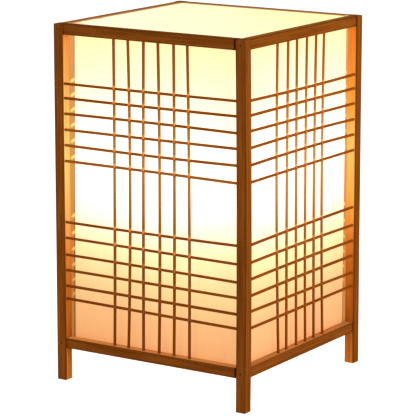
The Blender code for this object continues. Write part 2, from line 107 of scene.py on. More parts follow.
# Lattice, at the same places as the frame's plain one
STICK_SIZE = 0.0024
STICK_SWELL = 1.18
UPRIGHT_WIDTH = 0.0030
UPRIGHT_DEPTH = 0.0022
STICK_TUCK = 0.003
STICK_SIZE_SPREAD = 0.05
UPRIGHT_COUNT = 6
UPRIGHT_PITCH = 0.0197
GROUP_COUNT = 6
UPPER_DROP = 0.055
UPPER_PITCHES = (0.0163, 0.0188)
LOWER_RISE = 0.0437
LOWER_PITCHES = (0.017, 0.0196)

# Light on the sticks: round the bulb, where they cross, and just above each level stick
GLOW_HEIGHT = 0.268
GLOW_REACH = 0.088
GLOW_SHARES = {"front": 0.58, "right": 0.74}
GLOW_SHARE = 0.6
GLINT_SHARES = {"front": 1.0, "right": 0.75}
GLINT_SHARE = 0.8
CROSSING_REACH = 0.0024
CROSSING_GAIN = 1.85
CROSSING_UNDER = 0.6
CROSSING_HEIGHTS = (0.108, 0.165)
CROSSING_LIGHT = (0.30, 1.0)
CROSSING_SHIFTS = {"front": 0.0015, "right": -0.0035}
CROSSING_RINGS = (-0.0026, -0.0013, 0.0, 0.0013, 0.0026)
LEDGE_RINGS = (-0.0012, 0.0005, 0.0018, 0.0031, 0.0046)
LEDGE_FULL = 0.0018
LEDGE_REACH = 0.0046
LEDGE_SHARE = 0.7

# Lean of the sticks in millimetres: uprights at head, middle and foot, level ones at start, middle and end
LEAN_HEIGHTS = (0.385, 0.235, 0.065)
LEAN_PLACES = (-0.100, 0.0, 0.100)
UPRIGHT_LEANS = {
    "front": ((2, 2, 0.5), (1.5, 3, 0), (2, 1, 0), (1.5, 3, 1.5), (2, 2.5, 1.5), (0, 2, 2)),
    "right": ((-3, -3, 2), (-0.5, -1, 0), (-1.5, -1, 1.5), (0, -1, 1.5), (0, -1.5, 0.5), (-2.5, -4, 0)),
}
LEVEL_LEANS = {
    "front": ((0.5, 0.5, 1), (0.5, 0.5, 1), (0, 0.5, 0), (-0.5, 0, 0.5), (0, -0.5, 0.5), (1, 1, 0.5),
              (2, 1, 0), (0, -0.5, -1), (0.5, 0, -0.5), (0, -0.5, -1.5), (0.5, 0, -0.5), (-1, -1, 0)),
    "right": ((0.5, -0.5, 0), (1, 1, 0.5), (1, 0.5, 0), (0.5, 1, -0.5), (0, 1, 0), (0, 0.5, 0.5),
              (-1.5, -1, -0.5), (0, -0.5, -1.5), (0, 1, 1), (0, 1, 0.5), (-0.5, 0.5, 0), (-0.5, 1, 1.5)),
}
UPRIGHT_LEAN_SPREAD = 2.5
LEVEL_LEAN_SPREAD = 0.8

# Films and top panel
FILM_REACH = 0.0002
FILM_LAP = 0.0010
FILM_END_LAP = 0.0008
FILM_BOW = 0.0005
FILM_BOW_RATE = 14.0
FILM_COLUMN_STEP = 0.006
FILM_ROW_STEP = 0.010
BAND_COLUMN_STEP = 0.0012
BAND_START = 0.1000
LEAK_CENTRE = 0.1086
LEAK_HALF_WIDTH = 0.0042
LEAK_HALF_HEIGHT = 0.0024
LEAK_SLOPE = 0.6
LEAK_RISES = (0.0076, 0.0025)
LEAK_GAIN = 2.5
LEAK_SHARES = (0.3, 1.7)
LEAK_ROWS = (-0.004, -0.003, -0.002, -0.001, 0.0, 0.001, 0.002, 0.003, 0.004)
PANEL_CELLS = 36
PANEL_SAG = 0.0006

# Turned pieces; sizes of one piece alone are named in its function
FIT = 0.0003
EDGE_RADIUS = 0.0003
TRIM_SHARE = 0.45
TURN_STEPS = 48
ROUND_STEPS = 4
PIN_PROUD = 0.0001
PIN_DOME = 0.0003
TUBE_PITCH = 0.001
LAMP_PITCH = 0.003629


class Shape:
    """The points, faces and painted values of one mesh.

    Paint is (edge, lit share, accent): the lit share paints the light of the film and panel on the inner
    faces and some tops, and the accent paints light and shade, glints where the sticks cross and shade at
    the rails' joints, and below zero the glow of the lamp on the sticks.
    """

    def __init__(self):
        self.points = []
        self.faces = []
        self.grain = []
        self.paint = []

    def add_point(self, point, grain, paint):
        self.points.append(point)
        self.grain.append(grain)
        self.paint.append(paint)
        return len(self.points) - 1


def add_piece(name, shape, material, body, slot, *nodes):
    """Makes a piece that rides on a body and stands for CAD nodes."""
    mesh = bpy.data.meshes.new(name)
    mesh.from_pydata(shape.points, [], shape.faces)
    for label, values in (("grain", shape.grain), ("paint", shape.paint)):
        attribute = mesh.attributes.new(label, "FLOAT_VECTOR", "POINT")
        attribute.data.foreach_set("vector", [number for value in values for number in value])
    mesh.materials.append(material)
    mesh.shade_smooth()
    mesh.set_sharp_from_angle(angle=SHARP_ANGLE)
    piece = bpy.data.objects.new(name, mesh)
    bpy.context.scene.collection.objects.link(piece)
    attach(piece, body)
    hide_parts(*nodes)
    return piece


def clamp(value):
    """A value kept between 0 and 1."""
    return min(1.0, max(0.0, value))


def between(ends, share):
    """The value at a share of the way between two."""
    return ends[0] + (ends[1] - ends[0]) * share


def curve_through(places, values, at):
    """The parabola through three (place, value) pairs."""
    total = 0.0
    for i in range(3):
        weight = 1.0
        for j in range(3):
            if j != i:
                weight *= (at - places[j]) / (places[i] - places[j])
        total += weight * values[i]
    return total


# Bars of wood

def box_of(node):
    """A node's lowest corner, highest corner, centre and size."""
    low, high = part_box(node)
    return low, high, (low + high) / 2, high - low


def rounded_section(width, depth, radius, support, plain_corner=None):
    """Points (a, b), normals and edge values round a rectangle; the plain corner gets no darker edge and no
    painted edge shade.
    """
    section = []
    for k, (side_a, side_b) in enumerate(((1, 1), (-1, 1), (-1, -1), (1, -1))):
        dark_edge = 0.0 if (side_a, side_b) == plain_corner else 1.0
        centre = Vector((side_a * (width / 2 - radius), side_b * (depth / 2 - radius)))
        before = Vector((math.cos(math.pi / 2 * k), math.sin(math.pi / 2 * k)))
        after = Vector((-before.y, before.x))
        if support:
            section.append((centre + radius * before - support * after, before, 0.0))
        for i in range(CORNER_STEPS + 1):
            angle = math.pi / 2 * i / CORNER_STEPS
            normal = math.cos(angle) * before + math.sin(angle) * after
            edge = dark_edge * between((EDGE_DARK_LEAST, 1), math.sin(2 * angle))
            section.append((centre + radius * normal, normal, edge))
        if support:
            section.append((centre + radius * after - support * before, after, 0.0))
    return section


def even_stations(length):
    """Distances along a bar at about the usual step, both ends left out."""
    count = max(2, round(length / RING_STEP))
    return [length * i / count for i in range(1, count)]


def add_bar(shape, start, end, across, section, chamfer, draw, inner=(), stations=None,
            bend=None, accent=None, under=1.0, lit_share=None, wobble=WOBBLE):
    """Lofts a section from start to end, with chamfered ends and a hand-planed wobble.

    The accent, which paints light and shade, fades across the bar, to the given share under it.
    """
    length = (end - start).length
    along = (end - start).normalized()
    side_a = across.normalized()
    side_b = along.cross(side_a)
    span = 2 * max(point.x for point, _, _ in section)
    offset = draw.uniform(-GRAIN_SPREAD, GRAIN_SPREAD)
    middle = sorted(stations or even_stations(length))
    distances = [0.0, chamfer] + [s for s in middle if 2 * chamfer < s < length - 2 * chamfer]
    distances += [length - chamfer, length]
    rings = []
    for row, distance in enumerate(distances):
        inset = chamfer if row in (0, len(distances) - 1) else 0.0
        sway = Vector((distance * WOBBLE_RATE, offset, 0))
        centre = start + along * distance
        centre += side_a * wobble * noise.noise(sway) + side_b * wobble * noise.noise(sway.zyx)
        if bend:
            centre += bend(distance)
        glow = accent(distance) if accent else 0.0
        light = lit_share(distance) if lit_share else 1.0
        ring = []
        for point, normal, edge in section:
            a, b = point - inset * normal
            facing = side_a * normal.x + side_b * normal.y
            inward = max((max(0.0, facing.dot(way)) for way in inner), default=0.0)
            mark = glow * between((under, 1), 0.5 + a / span)
            place = centre + side_a * a + side_b * b
            grain = (distance + offset, a, b + offset)
            ring.append(shape.add_point(place, grain, (edge, inward * light, mark)))
        rings.append(ring)
    for near, far in zip(rings, rings[1:]):
        for i in range(len(near)):
            j = (i + 1) % len(near)
            shape.faces.append((near[i], near[j], far[j], far[i]))
    shape.faces.append(tuple(reversed(rings[0])))
    shape.faces.append(tuple(rings[-1]))


def build_bar(node, slot, material, start, end, across, section, draw, **options):
    """A piece of the frame that is one bar."""
    shape = Shape()
    add_bar(shape, start, end, across, section, END_CHAMFER, draw, **options)
    add_piece(f"{node}_wood", shape, material, "frame", slot, node)


def post_bow(corner, height):
    """How far a post stands from its straight line at a height."""
    heights = (CAD_BOX[1].z, CAD_BOX[1].z / 2, 0.0)
    return BOW_WAY * MILLIMETRE * curve_through(heights, POST_BOWS.get(corner, STRAIGHT), height)


def build_posts(material):
    """Four corner posts; the two faces of each that turn inward are lit between the rails."""
    draw = random.Random(SEED)
    joints = []
    for level in ("bottom", "top"):
        low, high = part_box(f"{level}_rail_front")
        joints.append((low.z, high.z))
    marks = [mark for low, high in joints for mark in (low - JOINT_FADE, low, high, high + JOINT_FADE)]

    def lit_share(height):
        return 0.0 if any(low <= height <= high for low, high in joints) else 1.0

    for corner in CORNERS:
        low, high, centre, size = box_of(f"post_{corner}")
        inner_x, inner_y = (-math.copysign(1, value) for value in centre.xy)
        section = rounded_section(size.x, size.y, POST_ROUND, EDGE_SUPPORT, plain_corner=(inner_x, inner_y))
        build_bar(f"post_{corner}", "frame_wood", material, Vector((*centre.xy, low.z)),
                  Vector((*centre.xy, high.z)), RIGHTWARD, section, draw,
                  inner=(Vector((inner_x, 0, 0)), Vector((0, inner_y, 0))),
                  stations=even_stations(size.z) + marks, bend=functools.partial(post_bow, corner),
                  lit_share=lit_share, wobble=0.0)


def build_rail(level, i, material, draw):
    """One rail between two posts, with painted shade at its joints and pale where the film or the panel
    lights it.
    """
    side = SIDES[i]
    turn = SIDE_TURNS[side]
    _, _, centre, size = box_of(f"{level}_rail_front")
    reach = HALF_INSIDE - RAIL_END_GAP
    start = turn @ Vector((-reach, centre.y, centre.z)) + post_bow(CORNERS[i - 1], centre.z)
    end = turn @ Vector((reach, centre.y, centre.z)) + post_bow(CORNERS[i], centre.z)
    length = (end - start).length
    stations = even_stations(length)
    stations += [ring for step in JOINT_RINGS for ring in (step, length - step)]
    shades = JOINT_SHADES.get(side, (JOINT_SHADE, JOINT_SHADE))

    # Painted shade at both ends of the rail, where it meets the posts
    def joint_shade(distance):
        gaps = (distance, length - distance)
        return max(share * clamp(2 - 2 * gap / JOINT_REACH) for share, gap in zip(shades, gaps))

    lit_ways = [turn @ INWARD, UPWARD]
    if level == "top":
        lit_ways = [turn @ INWARD, -UPWARD, UPWARD * TOP_LIGHT[side]]
    section = rounded_section(size.z, size.y, RAIL_ROUND, EDGE_SUPPORT)
    build_bar(f"{level}_rail_{side}", "frame_wood", material, start, end, UPWARD, section, draw,
              inner=lit_ways, stations=stations, accent=joint_shade)


def build_rails(material):
    """Top and bottom rails of the four sides."""
    draw = random.Random(SEED + 1)
    for level, i in itertools.product(("top", "bottom"), range(len(SIDES))):
        build_rail(level, i, material, draw)


def build_slats(material):
    """Corner battens behind the films, and the crossbar that carries the lampholder."""
    draw = random.Random(SEED + 2)
    for corner in CORNERS:
        low, high, centre, size = box_of(f"batten_{corner}")
        section = rounded_section(size.x, size.y, SLAT_ROUND, 0)
        build_bar(f"batten_{corner}", "stick_wood", material, Vector((*centre.xy, low.z)),
                  Vector((*centre.xy, high.z)), RIGHTWARD, section, draw, wobble=0.0)
    _, _, centre, size = box_of("crossbar")
    section = rounded_section(size.z, size.y, SLAT_ROUND, EDGE_SUPPORT)
    reach = HALF_INSIDE - RAIL_END_GAP
    build_bar("crossbar", "stick_wood", material, Vector((-reach, centre.y, centre.z)),
              Vector((reach, centre.y, centre.z)), UPWARD, section, draw)


# Lattice

def group_levels(first, pitches, direction):
    """Heights of a group of level sticks whose pitch widens steadily towards the middle."""
    levels = [first]
    for i in range(GROUP_COUNT - 1):
        levels.append(levels[-1] + direction * between(pitches, i / (GROUP_COUNT - 2)))
    return levels


LEVELS = group_levels(HEAD - UPPER_DROP, UPPER_PITCHES, -1)
LEVELS += group_levels(FOOT + LOWER_RISE, LOWER_PITCHES, 1)


def crossing_light(height):
    """How strongly a crossing at a height catches the light, least near the foot."""
    low, high = CROSSING_HEIGHTS
    return between(CROSSING_LIGHT, clamp((height - low) / (high - low)))


class Lattice:
    """Six leaning uprights and twelve level sticks in front of them, all of one side."""

    def __init__(self, side):
        self.side = side
        self.turn = SIDE_TURNS[side]
        self.draw = random.Random(LATTICE_SEED + SIDES.index(side))
        self.leans = self.read_or_draw(UPRIGHT_LEANS, UPRIGHT_COUNT, UPRIGHT_LEAN_SPREAD)
        self.lifts = self.read_or_draw(LEVEL_LEANS, len(LEVELS), LEVEL_LEAN_SPREAD)
        self.places = [(i - (UPRIGHT_COUNT - 1) / 2) * UPRIGHT_PITCH for i in range(UPRIGHT_COUNT)]
        self.shape = Shape()

    def read_or_draw(self, table, count, spread):
        """Three leans for each stick, read for the sides that show and drawn for the others."""
        drawn = [[self.draw.uniform(-spread, spread) for _ in range(3)] for _ in range(count)]
        return table.get(self.side, drawn)

    def upright_place(self, i, height):
        """Where an upright stands across the side, at a height."""
        return self.places[i] + MILLIMETRE * curve_through(LEAN_HEIGHTS, self.leans[i], height)

    def level_place(self, k, across):
        """Height of a level stick at a place across the side."""
        return LEVELS[k] + MILLIMETRE * curve_through(LEAN_PLACES, self.lifts[k], across)

    def add_stick(self, start, end, across, width, depth, **options):
        """One stick between two points of the front, a little wider or narrower than the next."""
        width *= 1 + self.draw.uniform(-STICK_SIZE_SPREAD, STICK_SIZE_SPREAD)
        section = rounded_section(width, depth, STICK_ROUND, 0)
        add_bar(self.shape, self.turn @ Vector(start), self.turn @ Vector(end), across, section,
                STICK_END_CHAMFER, self.draw, (self.turn @ INWARD,), **options)

    def add_upright(self, i, depth):
        """One upright, with painted glow near the bulb and just above each level stick."""
        place = self.places[i]
        foot = FOOT - STICK_TUCK
        head = HEAD + STICK_TUCK
        sideways = self.turn @ RIGHTWARD
        glow_share = GLOW_SHARES.get(self.side, GLOW_SHARE)
        ledges = [self.level_place(k, self.upright_place(i, level)) for k, level in enumerate(LEVELS)]
        stations = even_stations(head - foot)
        stations += [ledge + step - foot for ledge in ledges for step in LEDGE_RINGS]

        def lean(distance):
            return sideways * (self.upright_place(i, foot + distance) - place)

        # Painted glow round the bulb and just above each level stick, as an accent below zero
        def painted_glow(distance):
            height = foot + distance
            broad = glow_share * math.exp(-((height - GLOW_HEIGHT) / GLOW_REACH) ** 2)
            gap = min((height - ledge for ledge in ledges if height > ledge), default=LEDGE_REACH)
            near = clamp((LEDGE_REACH - gap) / (LEDGE_REACH - LEDGE_FULL))
            return -min(1.0, broad + LEDGE_SHARE * crossing_light(height) * near)

        self.add_stick((place, depth, foot), (place, depth, head), sideways, UPRIGHT_WIDTH, UPRIGHT_DEPTH,
                       stations=stations, bend=lean, accent=painted_glow)

    def add_level(self, k, depth):
        """One level stick, with a painted glint where it crosses an upright."""
        level = LEVELS[k]
        reach = HALF_INSIDE + STICK_TUCK
        shift = CROSSING_SHIFTS.get(self.side, 0.0)
        crossings = [self.upright_place(i, level) + shift for i in range(UPRIGHT_COUNT)]
        stations = even_stations(2 * reach)
        stations += [reach + crossing + step for crossing in crossings for step in CROSSING_RINGS]
        light = GLINT_SHARES.get(self.side, GLINT_SHARE) * crossing_light(level)

        def lift(distance):
            return UPWARD * (self.level_place(k, distance - reach) - level)

        # Painted glint where the stick crosses an upright, strongest on its upper edge
        def glint(distance):
            nearest = min(abs(distance - reach - crossing) for crossing in crossings)
            return light * clamp(CROSSING_GAIN * (1 - nearest / CROSSING_REACH))

        self.add_stick((-reach, depth, level), (reach, depth, level), UPWARD, STICK_SIZE * STICK_SWELL,
                       STICK_SIZE, stations=stations, bend=lift, accent=glint, under=CROSSING_UNDER)


def build_lattice(side, material):
    """All the sticks of one side, as one piece."""
    low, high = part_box("lattice_front")
    lattice = Lattice(side)
    for i in range(UPRIGHT_COUNT):
        lattice.add_upright(i, high.y - STICK_SIZE + UPRIGHT_DEPTH / 2)
    for k in range(len(LEVELS)):
        lattice.add_level(k, low.y + STICK_SIZE / 2)
    add_piece(f"lattice_{side}_sticks", lattice.shape, material, "frame", "stick_wood", f"lattice_{side}")


# Films

def spaced(low, high, step):
    """Evenly spaced numbers from low to high at about the given step."""
    count = max(1, round((high - low) / step))
    return [low + (high - low) * i / count for i in range(count + 1)]


def add_grid(shape, columns, rows, point_at, paint_at):
    """A sheet of quads over columns and rows."""
    grid = []
    for row in rows:
        line = []
        for column in columns:
            point = point_at(column, row)
            line.append(shape.add_point(point, point, paint_at(column, row)))
        grid.append(line)
    for under, over in zip(grid, grid[1:]):
        for i in range(len(columns) - 1):
            shape.faces.append((under[i], under[i + 1], over[i + 1], over[i]))


def thicken(piece, thickness):
    """Gives a sheet its thickness behind the side that faces out."""
    solidify = piece.modifiers.new("Thickness", "SOLIDIFY")
    solidify.thickness = thickness
    solidify.offset = -1


def build_film(side, material):
    """One film: a slightly bowed sheet, painted with (place across it, 0, patches of light).

    A patch lies above each level stick at both ends, nearer to the stick further up.
    """
    low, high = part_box("film_front")
    turn = SIDE_TURNS[side]
    number = SIDES.index(side)
    patches = [level + between(LEAK_RISES, (level - FOOT) / (HEAD - FOOT)) for level in LEVELS]
    columns = spaced(low.x - FILM_LAP, -BAND_START, BAND_COLUMN_STEP)
    columns += spaced(-BAND_START, BAND_START, FILM_COLUMN_STEP)[1:-1]
    columns += spaced(BAND_START, high.x + FILM_END_LAP, BAND_COLUMN_STEP)
    rows = spaced(low.z, high.z, FILM_ROW_STEP)
    rows += [patch + step for patch in patches for step in LEAK_ROWS]

    def drawn_aside(across, height):
        corner = CORNERS[number - 1 if across < 0 else number]
        share = max(0.0, (abs(across) - BAND_START) / (high.x - BAND_START))
        return share * post_bow(corner, height).dot(turn @ RIGHTWARD)

    def point_at(across, height):
        share = (height - low.z) / (high.z - low.z)
        calm = max(0.0, 1 - (across / BAND_START) ** 2) * 4 * share * (1 - share)
        wave = noise.noise(Vector((across * FILM_BOW_RATE, height * FILM_BOW_RATE, number * GRAIN_SPREAD)))
        depth = low.y - FILM_REACH + FILM_BOW * calm * wave
        return turn @ Vector((across + drawn_aside(across, height), depth, height))

    def paint_at(across, height):
        inset = LEAK_CENTRE - abs(across)
        sideways = max(0.0, 1 - abs(inset) / LEAK_HALF_WIDTH)
        nearest = min(abs(height - LEAK_SLOPE * inset - patch) for patch in patches)
        upward = max(0.0, 1 - nearest / LEAK_HALF_HEIGHT)
        share = between(LEAK_SHARES, (height - low.z) / (high.z - low.z))
        return (across, 0.0, min(1.0, LEAK_GAIN * sideways * upward) * min(1.0, share))

    shape = Shape()
    add_grid(shape, columns, sorted(rows), point_at, paint_at)
    piece = add_piece(f"film_{side}_sheet", shape, material, "frame", "shade_film", f"film_{side}")
    thicken(piece, high.y - low.y)


def build_top_panel(material):
    """The loose panel that closes the top, sagging a little between its edges."""
    low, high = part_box("top_panel")
    lines = spaced(low.x, high.x, (high.x - low.x) / PANEL_CELLS)

    def point_at(x, y):
        calm = max(0.0, 1 - (x / high.x) ** 2) * max(0.0, 1 - (y / high.y) ** 2)
        wave = noise.noise(Vector((x * FILM_BOW_RATE, y * FILM_BOW_RATE, GRAIN_SPREAD)))
        return Vector((x, y, high.z - PANEL_SAG * calm * (0.5 + 0.5 * wave)))

    shape = Shape()
    add_grid(shape, lines, lines, point_at, lambda x, y: (0.0, 0.0, 0.0))
    piece = add_piece("top_panel_sheet", shape, material, "top_panel", "shade_film", "top_panel")
    thicken(piece, high.z - low.z)


# Turned pieces

def rounded_profile(corners, radius, closed=True):
    """Points (r, z, edge) of a profile with each corner rounded off."""
    points = []
    count = len(corners)
    for i, corner in enumerate(corners):
        here = Vector(corner)
        if not closed and i in (0, count - 1):
            points.append((here.x, here.y, 0.0))
            continue
        back = Vector(corners[i - 1]) - here
        ahead = Vector(corners[(i + 1) % count]) - here
        trim = min(radius, TRIM_SHARE * back.length, TRIM_SHARE * ahead.length)
        first = here + back.normalized() * trim
        last = here + ahead.normalized() * trim
        for step in range(ROUND_STEPS + 1):
            t = step / ROUND_STEPS
            point = first * (1 - t) ** 2 + here * 2 * t * (1 - t) + last * t ** 2
            points.append((point.x, point.y, 1.0))
    return points


def subdivide_profile(profile, step):
    """Adds points along the straight runs of a profile, for ridges to follow."""
    fine = []
    for here, ahead in zip(profile, profile[1:] + profile[:1]):
        fine.append(here)
        count = int(math.hypot(ahead[0] - here[0], ahead[1] - here[1]) / step)
        for i in range(1, count):
            r, z = (between(ends, i / count) for ends in zip(here[:2], ahead[:2]))
            fine.append((r, z, 0.0))
    return fine


def add_turned(shape, profile, steps=TURN_STEPS, closed=True, ridge=None):
    """Turns a profile, which runs down its outer side, about the vertical axis."""
    rows = []
    for radius, height, edge in profile:
        angles = [0.0] if radius < MILLIMETRE / 100 else [2 * math.pi * i / steps for i in range(steps)]
        row = []
        for angle in angles:
            reach = radius + (ridge(angle, radius, height) if ridge else 0.0)
            point = Vector((reach * math.cos(angle), reach * math.sin(angle), height))
            row.append(shape.add_point(point, point, (edge, 0.0, 0.0)))
        rows.append(row)
    pairs = list(zip(rows, rows[1:]))
    if closed:
        pairs.append((rows[-1], rows[0]))
    for upper, lower in pairs:
        for i in range(steps):
            j = (i + 1) % steps
            corners = (upper[i % len(upper)], lower[i % len(lower)],
                       lower[j % len(lower)], upper[j % len(upper)])
            face = tuple(dict.fromkeys(corners))
            if len(face) > 2:
                shape.faces.append(face)


def build_turned(node, word, corners, material, slot, body="frame", edge=EDGE_RADIUS,
                 steps=TURN_STEPS, run=None, ridge=None):
    """A turned piece with rounded edges, its straight runs divided where it has ridges."""
    profile = rounded_profile(corners, edge)
    if run:
        profile = subdivide_profile(profile, run)
    shape = Shape()
    add_turned(shape, profile, steps, ridge=ridge)
    add_piece(f"{node}_{word}", shape, material, body, slot, node)


def ring_corners(outer, bore, low, high):
    """Profile of a plain ring, down its outer side and up its bore."""
    return [(outer, high.z), (outer, low.z), (bore, low.z), (bore, high.z)]


def thread(pitch, depth, low, high, skin, fade):
    """A right-hand screw thread cut inward between two heights, fading out at both ends."""
    def ridge(angle, radius, height):
        if radius < skin:
            return 0.0
        inside = min(height - low, high - height) / fade
        turns = height / pitch - angle / (2 * math.pi)
        return -depth * (0.5 - 0.5 * math.cos(2 * math.pi * turns)) * clamp(inside)
    return ridge


def build_pins(material):
    """Short dowel pins through the posts, with softly domed ends."""
    lay = Matrix.Rotation(math.pi / 2, 3, "X")
    for level, side, end in itertools.product(("top", "bottom"), ("right", "left"), ("a", "b")):
        node = f"pin_{level}_{side}_{end}"
        _, _, centre, size = box_of(node)
        radius = size.x / 2
        half = size.y / 2
        corners = [(0, half + PIN_DOME), (radius, half + PIN_PROUD),
                   (radius, -half - PIN_PROUD), (0, -half - PIN_DOME)]
        shape = Shape()
        add_turned(shape, rounded_profile(corners, radius / 4, closed=False), TURN_STEPS // 2, closed=False)
        corner = f"{'front' if centre.y < 0 else 'back'}_{'right' if centre.x > 0 else 'left'}"
        seat = centre + post_bow(corner, centre.z)
        shape.points = [seat + lay @ point for point in shape.points]
        add_piece(f"{node}_dowel", shape, material, "frame", "dark_steel", node)


def build_nut(node, bore, steel):
    """Hexagon nut whose corners are turned down at both faces."""
    low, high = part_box(node)
    outer = high.x
    sector = math.pi / 3
    flat = outer * math.cos(sector / 2)
    bevel = 0.0009
    slope = 0.6

    def hexagon(angle, radius, height):
        if radius < (bore + flat) / 2:
            return 0.0
        turned = (angle + sector / 2) % sector - sector / 2
        side = flat / math.cos(sector / 2 - abs(turned))
        lift = max(0.0, bevel - min(height - low.z, high.z - height))
        return min(side, outer - lift * slope) - outer

    build_turned(node, "steel", ring_corners(outer, bore, low, high), steel, "dark_steel",
                 steps=96, run=0.0005, ridge=hexagon)


def build_riser(steel, plastic):
    """Threaded tube with its nuts, washers and the bush at its foot."""
    low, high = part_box("riser_tube")
    outer = high.x
    inner = outer - 0.0015
    spiral = thread(TUBE_PITCH, 0.0004, low.z, high.z, skin=outer - 0.0005, fade=TUBE_PITCH)
    build_turned("riser_tube", "steel", ring_corners(outer, inner, low, high), steel, "dark_steel",
                 steps=28, run=TUBE_PITCH / 5, ridge=spiral)
    for level in ("upper", "lower"):
        build_nut(f"lock_nut_{level}", outer, steel)
        low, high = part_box(f"washer_{level}")
        corners = ring_corners(high.x, outer, low, high)
        build_turned(f"washer_{level}", "steel", corners, steel, "dark_steel")
    low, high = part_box("inlet_bush")
    spigot = inner - FIT
    flange = low.z + 0.002
    taper = 0.0008
    bore = 0.002
    corners = [(spigot, high.z), (spigot, flange), (high.x, flange), (high.x - taper, low.z),
               (bore, low.z), (bore, high.z)]
    build_turned("inlet_bush", "moulding", corners, plastic, "black_plastic", edge=0.0006)


def build_holder_cap(plastic):
    """Flared cap of the lampholder, on the tube."""
    low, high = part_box("holder_cap")
    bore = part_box("riser_tube")[1].x + FIT
    inside = high.x - 0.0025
    neck = 0.008
    neck_top = low.z + 0.010
    flare_top = low.z + 0.016
    floor = low.z + 0.0145
    floor_rim = low.z + 0.017
    corners = [(high.x, high.z), (high.x, flare_top), (neck, neck_top), (neck, low.z),
               (bore, low.z), (bore, floor), (inside, floor_rim), (inside, high.z)]
    build_turned("holder_cap", "moulding", corners, plastic, "black_plastic", edge=0.0015)


def build_holder_body(plastic):
    """Body of the lampholder, ribbed for grip."""
    low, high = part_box("holder_body")
    shell_low, shell_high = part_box("holder_screw_shell")
    shoulder = shell_low.z
    mouth = shell_high.x + 0.0008
    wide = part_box("holder_cap")[1].x + FIT
    rib_count = 36
    rib_steps = 6
    rib_depth = 0.0005
    skin = high.x - 0.001
    grip_low = low.z + 0.004
    grip_high = high.z - 0.006
    fade = 0.0015

    def ribs(angle, radius, height):
        if radius < skin:
            return 0.0
        inside = min(height - grip_low, grip_high - height) / fade
        return -rib_depth * (0.5 - 0.5 * math.cos(rib_count * angle)) * clamp(inside)

    corners = [(high.x, high.z), (high.x, low.z), (wide, low.z), (wide, shoulder),
               (mouth, shoulder), (mouth, high.z)]
    build_turned("holder_body", "moulding", corners, plastic, "black_plastic", edge=0.0008,
                 steps=rib_count * rib_steps, run=0.0012, ridge=ribs)


def build_holder_shell(brass):
    """Threaded shell that takes the bulb's cap."""
    low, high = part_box("holder_screw_shell")
    wall = 0.0008
    inside = high.x - wall
    floor = low.z + wall
    seat = 0.009
    swell = 0.0003
    skin = inside - 0.0004
    spiral = thread(LAMP_PITCH, 0.0005, low.z + 0.002, high.z - 0.001, skin, fade=LAMP_PITCH / 2)

    def pressed(angle, radius, height):
        return swell + spiral(angle, radius, height) if radius > skin else 0.0

    corners = [(high.x, high.z), (high.x, low.z), (seat, low.z), (seat, floor), (inside, floor),
               (inside, high.z)]
    build_turned("holder_screw_shell", "brass", corners, brass, "brass", run=LAMP_PITCH / 8, ridge=pressed)


def build_bulb_cap(metal):
    """Screw cap of the bulb."""
    low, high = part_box("bulb_cap")
    chamfer = 0.0018
    lip = 0.0093
    floor = low.z + 0.0008
    inside = high.x - 0.002
    skin = high.x - 0.0006
    spiral = thread(LAMP_PITCH, 0.0009, low.z + chamfer, high.z - 0.003, skin, fade=LAMP_PITCH / 2)
    corners = [(high.x, high.z), (high.x, low.z + chamfer), (high.x - chamfer, low.z), (lip, low.z),
               (lip, floor), (inside, floor), (inside, high.z)]
    build_turned("bulb_cap", "metal", corners, metal, "aluminium", body="bulb", edge=0.0004,
                 run=LAMP_PITCH / 10, ridge=spiral)


def build_bulb_housing(plastic):
    """Tapered housing of the bulb, with a ledge for the board."""
    low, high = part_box("bulb_housing")
    cap_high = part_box("bulb_cap")[1]
    neck = cap_high.x
    collar = cap_high.z + FIT
    collar_top = collar + 0.004
    spigot = neck - 0.0011
    bore = spigot - 0.0025
    rim = high.z - 0.0042
    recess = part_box("bulb_led_board")[1].x + FIT
    ledge = 0.0021
    seat = high.z - ledge
    corners = [(high.x, high.z), (high.x, rim), (neck, collar_top), (neck, collar), (spigot, collar),
               (spigot, low.z), (bore, low.z), (bore, collar_top), (recess - ledge, rim),
               (recess - ledge, seat), (recess, seat), (recess, high.z)]
    build_turned("bulb_housing", "moulding", corners, plastic, "white_plastic", body="bulb", edge=0.0012,
                 steps=72)


def build_bulb_dome(opal):
    """Domed diffuser of the bulb."""
    low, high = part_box("bulb_diffuser")
    dome = 0.030
    wall = 0.0012
    middle = high.z - dome
    profile = []
    for radius, order in ((dome, -1), (dome - wall, 1)):
        drop = math.asin((middle - low.z) / radius)
        for angle in spaced(-drop, math.pi / 2, step=0.08)[::order]:
            profile.append((radius * math.cos(angle), middle + radius * math.sin(angle), 0.0))
    shape = Shape()
    add_turned(shape, profile, steps=72, closed=False)
    add_piece("bulb_diffuser_dome", shape, opal, "bulb", "opal_diffuser", "bulb_diffuser")


# Materials

# A cloud is (scale along each axis, detail, roughness if unusual), a stop (place, red, green, blue)
UNIT = (0, 1)
BLACK = (0, 0, 0)
CLOUD_SPAN = (0.3, 0.7)
FINE_RELIEF = 0.0002


